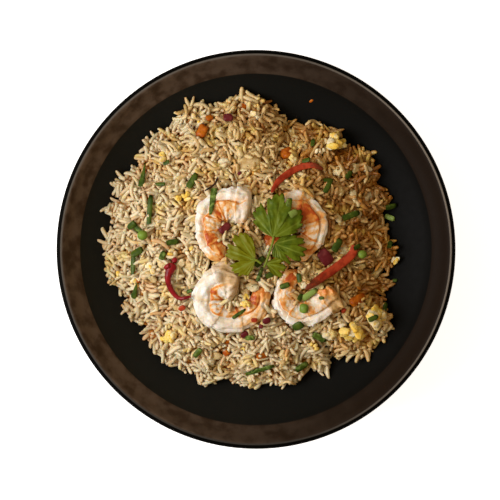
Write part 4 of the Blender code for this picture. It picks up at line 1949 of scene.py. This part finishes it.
SPRIG = Herb(
    "coriander_sprig",
    (
        Leaflet(
            (10.2, 7, 5.4),
            (
                (8, 6), (13.7, 15.2), (18, 16), (26, 20), (33, 20.5), (40, 24), (48, 23.5), (55, 21.6),
                (64.7, 26.2), (72, 23.5), (80, 28), (87, 26), (93.8, 24.5), (104.6, 19), (108, 23.1),
                (117, 20.5), (125, 20.2), (135, 16), (142, 15.2), (146, 10.7), (152, 4),
            ),
            (31, 79, 130),
        ),
        Leaflet(
            (11, 3.4, 3.7),
            (
                (-110, 3), (-103, 7), (-80, 9.3), (-62, 11.5), (-49, 15.9), (-46, 11.6), (-34.7, 19),
                (-28, 18.5), (-21, 19.8), (-14, 19), (-7.7, 20.2), (5, 18.9), (15.5, 15), (28, 11.5),
                (41, 8.5), (50, 3),
            ),
            (-68, -20, 14),
        ),
        Leaflet(
            (6, -8.4, 3.6),
            (
                (-70, 3), (-56, 7.9), (-46, 11.5), (-41, 13.2), (-30, 11.5), (-20, 12.5), (-10, 12.6),
                (2, 10.8), (12, 10.5), (24, 8.7), (36, 3),
            ),
            (-42, -14, 14),
            young=0.6,
        ),
    ),
    ((10.6, 8, 5.6), (9.6, 3, 4.0), (6.4, -7, 3.2), (4.6, -11, 2.6)),
)
LONE_LEAF = Herb(
    "coriander_leaf",
    (
        Leaflet(
            (-0.6, -6.5, 2.4),
            (
                (84, 3), (92.5, 9.1), (98, 14), (106, 16.5), (114, 18.7), (125, 19), (136.8, 20.3),
                (144, 18.8), (151.6, 19.1), (160, 17.6), (166.6, 18.5), (176, 16.3), (181, 11.5), (186, 13),
                (193.3, 15.6), (200, 14.8), (207, 15.7), (215, 13.6), (223, 13.7), (232, 11.3),
                (241.6, 10.9), (253, 6.8), (262, 3),
            ),
            (124, 160, 206),
            young=1.0,
        ),
    ),
    ((-3.4, -5.8, 2.4), (0, -6.4, 2.4), (3.4, -8.6, 2.2)),
)


# The toppings

SMALL = (14, 10)
MASH = (7.5, 4.8, 3.2)


def lumps(rows: Iterable[tuple[float, ...]], **shared: float) -> tuple[Lump, ...]:
    """Make a lump from each row of numbers."""
    return tuple(Lump(*row, **shared) for row in rows)


CHILLIES = (
    Strip(((9, 34), (14.5, 42), (24, 48.5), (33, 51), (41, 48.5)), 4.0, 1.5, 0.6, 0.03, nodes=("chilli_1",)),
    Strip(
        ((59, 3), (58, -3), (49, -10.5), (38, -18), (29.5, -24)),
        *(5.4, 1.5, 0.4, 0.03, 0.1),
        nodes=("chilli_2",),
    ),
    Strip(
        ((-50, -8), (-53, -17), (-51, -24.5), (-46, -29.5), (-38.5, -28)),
        *(4.4, 2.6, 1.5, 0.15, 0.9, 0.6),
        nodes=("chilli_3",),
    ),
)
ONIONS_CUT = tuple(
    Tube(*numbers, nodes=(f"spring_onion_{index}",))
    for index, numbers in enumerate(
        (
            (-26.2, 28.6, -98, 16, 4.4, 0.55, 0.36), (-64.2, 24, 86, 17, 3.2, 1, 0.1),
            (-68.6, 45.6, 80, 15, 4.6, 0.13, 0.2), (-74.6, -8.8, 88, 12, 3, 1, 0.15),
            (-73.6, -25, 76, 10, 4.4, 0.16, 0.2), (2.6, -73.6, 17, 18, 2.8, 1, 0.35),
            (49, 2.5, 60, 8, 4.6, 1, 0.15), (57.5, 20.6, 20, 11, 3.8, 1, 0.15),
            (38.5, -53.4, -25, 8, 4.2, 1, 0.3), (43.5, 38, 62, 9, 3.2, 1, 0.2),
            (28, -71.8, 30, 8, 4.2, 1, 0.3), (-72.5, 13, -45, 9, 3.6, 1, 0.25),
        ),
        start=1,
    )
)
EGGS = (
    Lump(48.5, 63.5, 75, 14, 9.5, 6.5, tone=0.3, proud=2.5, nodes=("egg_1",)),
    Lump(58, -50.5, -10, 15, 9, 6.5, tone=0.25, proud=2.9, nodes=("egg_2",)),
    Lump(74.5, -41.5, 70, 15, 11, 6.5, tone=0.2, proud=3.6, nodes=("egg_3",)),
    Lump(-53, -53.5, 20, 9, 7, 5, tone=0.2, nodes=("egg_4",)),
)
CARROTS = (
    Lump(61.5, -30.5, 35, 10.5, 5.2, 4.5, 0.6, 0.28, 3.0, nodes=("carrot_1",)),
    Lump(-32.5, 71.5, 60, 8, 6.2, 5, 0.6, 0.32, 3.0, nodes=("carrot_2",)),
    Lump(18.5, 58.5, 20, 7.4, 6, 5, 0.6, 0.30, 3.0, nodes=("carrot_3",)),
)
ONIONS = (Lump(-4, 52.5, 35, 13, 11, 2.6, 0.45, 0.18, 4, 0.05, proud=0.3, nodes=("onion_1",)),)
RED_ONIONS = (Lump(42.0, -4.6, -50, 10, 7.5, 3.2, 0.5, 0.14, 3.4, 0.08, proud=2.1, nodes=("red_onion_1",)),)

GREEN_SNIPS = tuple(
    Tube(*numbers)
    for numbers in (
        (-38.4, 41.6, 60, 9, 5, 0.8, 0.15), (-57.6, 39.5, 0, 6, 2.4), (-75, 14.8, 40, 6, 4),
        (-50.4, 4.4, 10, 7, 3.4), (-56.4, -3.7, 70, 5, 3.6, 1, 0.3),
        (-72, -1.6, 30, 7, 4.6, 1, 0.15), (-39.8, -25, 20, 4, 2.6, 1, 0.25),
        (-10.2, -38.8, 35, 9, 2.4, 0.8, 0.2), (-35.4, -62.8, 50, 6, 3.6, 1, 0.25),
        (-3.6, -53.5, 0, 5, 3.2, 1, 0.4), (25.8, -46, 30, 6.4, 5.6, 1, 0.1),
        (32.4, -27, 35, 10, 4.2, 0.8, 0.75), (26.6, -28.9, 60, 4.6, 3, 1, 0.1),
        (17.4, -21.8, 20, 5.5, 3.4), (25.8, -17, 100, 5, 3.2, 1, 0.15),
        (39.4, -29.2, 0, 2.8, 2), (8.6, -15.2, 30, 5.5, 3.4, 1, 0.05),
        (2.4, -7.3, 45, 7, 4), (2.4, -14.8, 70, 8.5, 2.8, 0.7, 0.3), (61, 1.5, 30, 5, 3, 1, 0.15),
        (34.6, 65, 80, 5, 3), (30.6, 53.9, 10, 5, 3.2), (56.4, 45.2, 50, 5.5, 3.4, 1, 0.15),
        (43.6, 42, 0, 6, 2.6, 1, 0.1), (82.8, 26.2, 15, 7, 3.4, 1, 0.15), (82.8, 19.6, -20, 6, 3.4, 1, 0.7),
        (82.2, 2.9, 75, 5, 3), (85.6, -19, 0, 2.6, 2), (70.7, -41.6, 25, 6, 3.2),
        (79.2, -35, 70, 5, 3), (-54.2, 52.7, 30, 4, 2.6),
    )
)
LATE_SNIPS = (Tube(22.2, 21.6, 30, 5.6, 4.6, 0.8, 1.2), Tube(19.4, 28.0, 80, 4.6, 3, 1, 0.5))
PEAS = lumps(
    (
        (-68.4, 8.6, 0, 6.5, 6.3, 6, 1.0, 0.05), (64.5, -3, 0, 5.6, 5.4, 5.2, 1.0, 0.05),
        (28.8, -35.5, 80, 6, 5.6, 4.6, 0.8, 0.08),
    ),
    grain=4,
)
CARROT_CRUMBS = lumps(
    (
        (-28.4, 79.9, 20, 4.4, 3.6, 3), (-7.8, 87.8, -10, 4.2, 3.4, 3), (3.6, -64, 10, 7, 4.6, 3.6),
        (-16.9, -53.9, 80, 8, 3.6, 3), (-18, -63.2, 30, 4.2, 3.4, 3), (-72, -18.7, 60, 3.4, 3, 2.6),
        (-68, 31, 15, 4.6, 3.2, 2.4),
    ),
    square=0.4,
    rough=0.06,
)
CARROT_ON_WALL = Lump(34, 91, 40, 3.4, 1.8, 1.4, square=0.8, rough=0.2, grain=2)
EGG_CRUMBS = tuple(
    Lump(*size, tone=tone, proud=proud)
    for *size, tone, proud in (
        (-57.4, 56, 60, 8, 6, 4.5, 0.0, 0.9), (-43.2, 31.8, 20, 9, 6.5, 4.5, 0.0, 0.9),
        (-4.8, 36.8, 0, 4.4, 3.6, 3, 0.0, 0.0), (35.4, -58.8, 10, 6, 5.5, 4, 0.0, 0.8),
        (84.6, -5.5, 70, 7, 5, 3.4, 0.2, 0.6), (-75, -22, 40, 8, 6, 4, 0.35, 0.5),
        (-50, 0, 70, 8, 5, 3.6, 0.3, 0.5), (75, -50.8, 10, 6.5, 5, 4, 0.9, 0.0),
        (-63.3, -10.4, 60, 9, 6, 3.6, 0.2, 0.5), (-85, -15.5, 80, 8, 5, 3.6, 0.5, 0.0),
        (-38.8, -1, 20, 7, 5, 3.4, 0.4, 0.0), (-6.8, -59.4, 70, 6, 4, 3.4, 0.2, 0.0),
        (-73, 34.4, 0, 7, 5, 3.4, 0.6, 0.0), (-36.7, 53.6, 40, 5, 4, 3.4, 0.7, 0.0),
        (-33.5, 78.2, 70, 6, 4, 3.4, 0.5, 0.0), (39, 60, 0, 6, 4, 3.4, 0.7, 0.0),
        (0, 80.3, 70, 8, 6, 3.6, 0.8, 0.0), (66.8, 49.4, 30, 7, 5, 3.4, 0.7, 0.0),
        (31.6, 43, 0, 5, 3.4, 3, 0.1, 0.0), (43.3, -58.4, 20, 6, 5, 3.6, 0.6, 0.0),
    )
)
EGG_ON_SHRIMP = lumps(((-7, -29.5, 82, 10, 4.4, 3.0), (-5.5, -33, 70, 5, 4, 2.6)))
CHILLI_CRUMBS = lumps(
    ((-44.7, -35.5, 30, 5, 3.4, 2), (-1, -42.6, 0, 3.8, 2.6, 1.8), (53, -37, 60, 3.4, 2.6, 1.8)),
    square=0.6,
    rough=0.12,
    grain=2,
)
CHILLI_STALK = lumps(
    ((-53.4, -10.4, 30, 4.4, 3.0, 2.6), (-49, -6.6, 60, 3.6, 3.2, 2.4)), square=0.7, rough=0.15, grain=2
)
RED_ONION_CRUMBS = lumps(
    (
        (-18.6, 12.8, 40, 8, 4.6, 2.4, 0.6, 0.12), (-16.9, 80.3, 0, 6, 5, 3, 0.6, 0.15),
        (6.4, -43, 20, 5, 3.6, 2, 0.6, 0.12), (3, -46.5, 70, 3, 2.6, 1.8, 0.6, 0.12),
        (-10, 46, 30, 2.6, 2, 1.6, 0.6, 0.12), (-7, -51.5, 30, 5, 3.4, 2, 0.6, 0.12),
    ),
    grain=2,
)
SHREDS = tuple(
    Strip(line, width, 0.9, crown=0.05)
    for line, width in (
        (((-46, 66), (-41, 69), (-36, 66), (-35, 61), (-39, 57.5), (-44, 58.5)), 1.8),
        (((-30, 52), (-26, 48.6), (-21, 49.5)), 2.0), (((-79, 8), (-75, 4.6), (-69, 4.0)), 1.9),
        (((-58, 66), (-52, 64), (-47, 59)), 1.7), (((8, 78), (14, 80), (20, 77)), 1.8),
        (((30, 76), (35, 79), (41, 76)), 1.7), (((66, 52), (68, 46), (66, 40)), 1.8),
        (((72, 8), (76, 2), (74, -4)), 1.7), (((48, -66), (54, -64), (58, -59)), 1.8),
        (((14, -84), (19, -81), (25, -83)), 1.7), (((-28, -74), (-22, -77), (-16, -75)), 1.8),
        (((-60, -40), (-58, -46), (-62, -51)), 1.8), (((-42, -48), (-36, -50), (-31, -47)), 1.7),
        (((-66, -30), (-61, -33), (-60, -38)), 1.6),
    )
)
FIBRE = Strip(((-22.8, 44), (-25.2, 39.2), (-31.2, 35)), 1.2, 1.0)


class Look(Enum):
    """The finishes of the rice and its toppings."""

    RICE = RiceFinish(
        "rice_grain", roughness=0.36, relief=0.12 * MM, relief_scale=1300.0, coat=0.06, flesh=0.35,
        glow=1.4 * MM, shine=0.2,
    )
    GREEN = TonedFinish(
        "green_onion", (0.034, 0.066, 0.007), (0.070, 0.105, 0.010), 260.0, roughness=0.4, coat=0.06,
        other=(0.24, 0.35, 0.08),
    )
    EGG = TonedFinish(
        "egg", (0.85, 0.64, 0.19), (0.82, 0.53, 0.07), 240.0, roughness=0.5, relief=0.4 * MM, flesh=0.2,
        other=(0.84, 0.74, 0.50),
    )
    PEA = Finish("pea", (0.17, 0.27, 0.035), (0.12, 0.20, 0.02), 300.0, coat=0.12)
    CARROT = Finish(
        "carrot", (0.48, 0.13, 0.006), (0.32, 0.06, 0.004), 300.0, roughness=0.4, coat=0.1, flesh=0.15,
    )
    # Its other colour is the painted shade towards a strip's last end.
    CHILLI = TonedFinish(
        "chilli", (0.42, 0.052, 0.018), (0.26, 0.022, 0.008), 220.0, roughness=0.38, coat=0.05,
        other=(0.15, 0.028, 0.010),
    )
    RIPE = Finish(
        "ripe_chilli", (0.26, 0.010, 0.014), (0.13, 0.004, 0.008), 220.0, roughness=0.25, coat=0.12,
    )
    ONION = Finish(
        "onion", (0.66, 0.51, 0.26), (0.54, 0.36, 0.14), 240.0, roughness=0.35, coat=0.1, flesh=0.25,
    )
    RED_ONION = Finish(
        "red_onion", (0.11, 0.010, 0.014), (0.20, 0.035, 0.036), 200.0, (0.45, 0.75), roughness=0.35,
        coat=0.06,
    )
    PEPPER = Finish("pepper", (0.03, 0.015, 0.008), (0.06, 0.03, 0.015), 900.0, roughness=0.6)
    SHRIMP = ShrimpFinish(
        "shrimp_meat", (0.84, 0.82, 0.77), (0.80, 0.68, 0.50), 180.0, (0.42, 0.7), roughness=0.34,
        relief=0.55 * MM, relief_scale=480.0, coat=0.32, flesh=0.3, glow=1.6 * MM,
    )
    LEAF = LeafFinish(
        "coriander_blade", (0.108, 0.150, 0.005), (0.062, 0.104, 0.003), 170.0, roughness=0.42,
        relief=0.25 * MM, relief_scale=500.0, shine=0.14,
    )


class Toppings:
    """Everything that lies on the heap, laid in order from the lowest."""

    def __init__(self, field: Field, palette: dict[Look, Material], seed: int = 5) -> None:
        """Keep what the toppings rest on, and their finishes.

        Args:
            field: What is laid so far.
            palette: Their finishes.
            seed: Starts the chance.
        """
        self.field = field
        self.palette = palette
        self.rng = np.random.default_rng(seed)

    def _spot(self, reach: float) -> Pair:
        """A place by chance on a disc about the middle."""
        far, angle = reach * math.sqrt(self.rng.random()), math.tau * self.rng.random()
        return far * math.cos(angle), far * math.sin(angle)

    def lay_shrimps(self) -> None:
        """Lay the four shrimps, which the grains then close in on."""
        for size in SHRIMPS:
            Shrimp(size).lay(self.field, self.palette[Look.SHRIMP])

    def _scramble(self, egg: Lump, piece: Gathered, count: int, buried: bool = True) -> None:
        """Lay a piece of scrambled egg as curds that lean on each other.

        Args:
            egg: The whole piece's place and size.
            piece: What it is gathered into.
            count: How many curds it has.
            buried: Whether the grains are laid after it.
        """
        turn = math.radians(egg.turn)
        for _ in range(count):
            along, across = self._spot(0.44)
            along, across = along * egg.length, across * egg.width
            x = egg.x + along * math.cos(turn) - across * math.sin(turn)
            y = egg.y + along * math.sin(turn) + across * math.cos(turn)
            size = self.rng.uniform(0.36, 0.6, 3) * (egg.length, egg.width, egg.height)
            tone = float(np.clip(egg.tone + self.rng.normal(0.15, 0.25), 0, 1))
            curd = Lump(x, y, 360 * self.rng.random(), *size, square=0.85, rough=0.32, grain=2.2, tone=tone)
            curd.lay(self.field, piece, (18, 12), (-0.8 - egg.proud if buried else 0.8) * MM, buried)

    def lay_buried(self) -> None:
        """Lay the egg, carrot and onion that the grains close in on."""
        groups = (
            (CARROTS, self.palette[Look.CARROT], "carrot"),
            (ONIONS, self.palette[Look.ONION], "onion"),
            (RED_ONIONS, self.palette[Look.RED_ONION], "red_onion"),
        )
        for egg in EGGS:
            piece = Gathered(f"{egg.nodes[0]}_cut")
            self._scramble(egg, piece, 12)
            dress(piece.build(), self.palette[Look.EGG], "egg", *egg.nodes)
        for items, material, slot in groups:
            for item in items:
                piece = Gathered(f"{item.nodes[0]}_cut")
                item.lay(self.field, piece, (24, 16), (0.16 * item.height - item.proud) * MM, True)
                dress(piece.build(), material, slot, *item.nodes)
        crumbs = Gathered("egg_crumbs")
        for egg in EGG_CRUMBS:
            self._scramble(egg, crumbs, 4)
        dress(crumbs.build(), self.palette[Look.EGG], "egg")
        pieces = Gathered("carrot_crumbs")
        for crumb in (*CARROT_CRUMBS, CARROT_ON_WALL):
            crumb.lay(self.field, pieces, SMALL, 0.4 * MM, True)
        dress(pieces.build(), self.palette[Look.CARROT], "carrot")

    def lay_mash(self, count: int = 200, reach: float = 80) -> None:
        """Lay lumps of rice that stuck together, under the grains.

        Args:
            count: How many places are tried.
            reach: How far from the axis they are.
        """
        piece = Gathered("rice_mash")
        taken = self.field.taken.copy()
        for _ in range(count):
            x, y = self._spot(reach)
            size = self.rng.uniform(0.7, 1.3, 3) * MASH
            turn, tone = 360 * self.rng.random(), self.rng.uniform(0.0, 0.45)
            lump = Lump(x, y, turn, *size, square=0.9, rough=0.5, grain=2.0, tone=tone)
            cell = self.field.index(np.array([x, y]) * MM)
            if not self.field.taken[cell] and self.field.aim[cell] > self.field.height[cell]:
                lump.lay(self.field, piece, (20, 14), 1.1 * MM, True, tint=0.05)
        self.field.taken = taken
        dress(piece.build(), self.palette[Look.RICE], "rice")

    def lay_larger(self) -> None:
        """Lay the other toppings that have solids of their own."""
        for item in ONIONS_CUT:
            piece = Gathered(f"{item.nodes[0]}_cut")
            item.lay(self.field, piece, (20, 12))
            dress(piece.build(), self.palette[Look.GREEN], "spring_onion", *item.nodes)
        for strip in CHILLIES:
            piece = object_of(f"{strip.nodes[0]}_cut", strip.mesh(self.field))
            self.field.lay(np.array([vert.co for vert in piece.data.vertices]), taken=True)
            look = Look.RIPE if strip.point else Look.CHILLI
            dress(piece, self.palette[look], "chilli", *strip.nodes)

    def lay_smaller(self) -> None:
        """Lay the small bits, one piece for each kind."""
        groups = (
            ("green_snips", GREEN_SNIPS, self.palette[Look.GREEN], "spring_onion"),
            ("peas", PEAS, self.palette[Look.PEA], "spring_onion"),
            ("chilli_crumbs", CHILLI_CRUMBS, self.palette[Look.CHILLI], "chilli"),
            ("chilli_stalk", CHILLI_STALK, self.palette[Look.RIPE], "chilli"),
            ("red_onion_crumbs", RED_ONION_CRUMBS, self.palette[Look.RED_ONION], "red_onion"),
        )
        for name, items, material, slot in groups:
            piece = Gathered(name)
            for item in items:
                item.lay(self.field, piece, SMALL)
            dress(piece.build(), material, slot)
        curds = Gathered("egg_curds")
        for egg in EGG_ON_SHRIMP:
            self._scramble(egg, curds, 5, False)
        dress(curds.build(), self.palette[Look.EGG], "egg")
        shreds = Gathered("onion_shreds")
        for strip in SHREDS:
            shape = Shape.of(strip.mesh(self.field, 10, 22))
            shreds.add(shape, shape.points)
        dress(shreds.build(), self.palette[Look.ONION], "onion")
        dress(object_of("onion_fibre", FIBRE.mesh(self.field, 8, 16)), self.palette[Look.PEPPER], "onion")

    def lay_herbs(self) -> None:
        """Lay the coriander on top, and the snips that lie on it."""
        for herb in (SPRIG, LONE_LEAF):
            herb.lay(self.field, self.palette[Look.LEAF])
        piece = Gathered("late_snips")
        for snip in LATE_SNIPS:
            snip.lay(self.field, piece, SMALL, 1.0 * MM)
        dress(piece.build(), self.palette[Look.GREEN], "spring_onion")

    def strew_pepper(self, count: int = 420, reach: float = 0.086) -> None:
        """Strew crushed pepper on the grains.

        Args:
            count: How many specks are strewn.
            reach: How far from the axis they fall.
        """
        bm = bmesh.new()
        bmesh.ops.create_icosphere(bm, subdivisions=1, radius=0.5)
        shape = Shape.of(bm)
        piece = Gathered("pepper_specks")
        for _ in range(count):
            spot = np.array(self._spot(reach))
            size = self.rng.uniform(0.6, 1.3) * MM
            spin = turning(*(math.tau * self.rng.random(3)))
            cell = self.field.index(spot)
            if self.field.taken[cell]:
                continue
            z = float(self.field.height[cell])
            piece.add(shape, (shape.points * (1, 0.8, 0.6) * size) @ spin.T + (*spot, z))
        dress(piece.build(), self.palette[Look.PEPPER], "chilli")


# The set


@frozen
class Lamp:
    """An area light, aimed at the bowl.

    Args:
        name: The light's name.
        place: Where it is, in metres.
        size: Its breadth in metres.
        power: Its power in watts.
        colour: Its colour.
    """

    name: str
    place: tuple[float, float, float]
    size: float
    power: float
    colour: Colour = (1.0, 1.0, 1.0)

    def build(self) -> None:
        """Add the light."""
        light = bpy.data.lights.new(self.name, "AREA")
        light.size = self.size
        light.energy = self.power
        light.color = self.colour
        lamp = bpy.data.objects.new(self.name, light)
        lamp.location = self.place
        aim = Vector((0, 0, 0.05)) - lamp.location
        lamp.rotation_euler = aim.to_track_quat("-Z", "Y").to_euler()
        bpy.context.scene.collection.objects.link(lamp)


class Studio:
    """A pale floor, soft lights and a camera that looks straight down."""

    LAMPS = (
        Lamp("key", (-0.52, -0.05, 0.47), 0.46, 4.55, (0.97, 0.97, 1.0)),
        Lamp("fill", (-0.30, 0.30, 0.80), 0.9, 1.8, (1.0, 0.91, 0.76)),
    )

    def build(self) -> None:
        """Add the floor, the lights, the world and the camera."""
        scene = bpy.context.scene
        scene.view_settings.view_transform = "Standard"
        world = bpy.data.worlds.new("studio")
        world.use_nodes = True
        background = world.node_tree.nodes["Background"]
        background.inputs["Color"].default_value = (1.0, 0.71, 0.37, 1.0)
        background.inputs["Strength"].default_value = 0.34
        scene.world = world
        for lamp in self.LAMPS:
            lamp.build()
        self._add_floor()
        camera = bpy.data.cameras.new("above")
        camera.lens = 132.0
        camera.sensor_width = 36.0
        eye = bpy.data.objects.new("above", camera)
        eye.location = (-0.0036, -0.00036, 1.162)
        scene.collection.objects.link(eye)
        scene.camera = eye

    def _add_floor(self) -> None:
        """Add the floor, whose faint glow keeps it white."""
        bm = bmesh.new()
        bmesh.ops.create_grid(bm, x_segments=1, y_segments=1, size=2.0)
        floor = object_of("floor", bm)
        material, graph = Graph.of_material("floor")
        white = (0.9, 0.9, 0.9)
        inputs = {"Base Color": white, "Roughness": 0.8, "Emission Color": white, "Emission Strength": 0.95}
        graph.surface(inputs)
        floor.data.materials.append(material)
        bpy.context.scene.collection.objects.link(floor)


def main() -> None:
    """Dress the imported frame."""
    logging.basicConfig(level=logging.INFO, format="%(name)s: %(message)s")
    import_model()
    effects = Effects()
    palette = {look: look.value.build(effects) for look in Look}
    bowl = BowlSize()
    Bowl(bowl).build(effects)
    heap = Heap(HeapSize(), bowl)
    heap.build_core(effects)
    field = Field(heap)
    toppings = Toppings(field, palette)
    toppings.lay_shrimps()
    toppings.lay_buried()
    toppings.lay_mash()
    Grains().lay(field, palette[Look.RICE])
    toppings.lay_larger()
    toppings.lay_smaller()
    toppings.strew_pepper()
    toppings.lay_herbs()
    Studio().build()


if __name__ == "__main__":
    main()
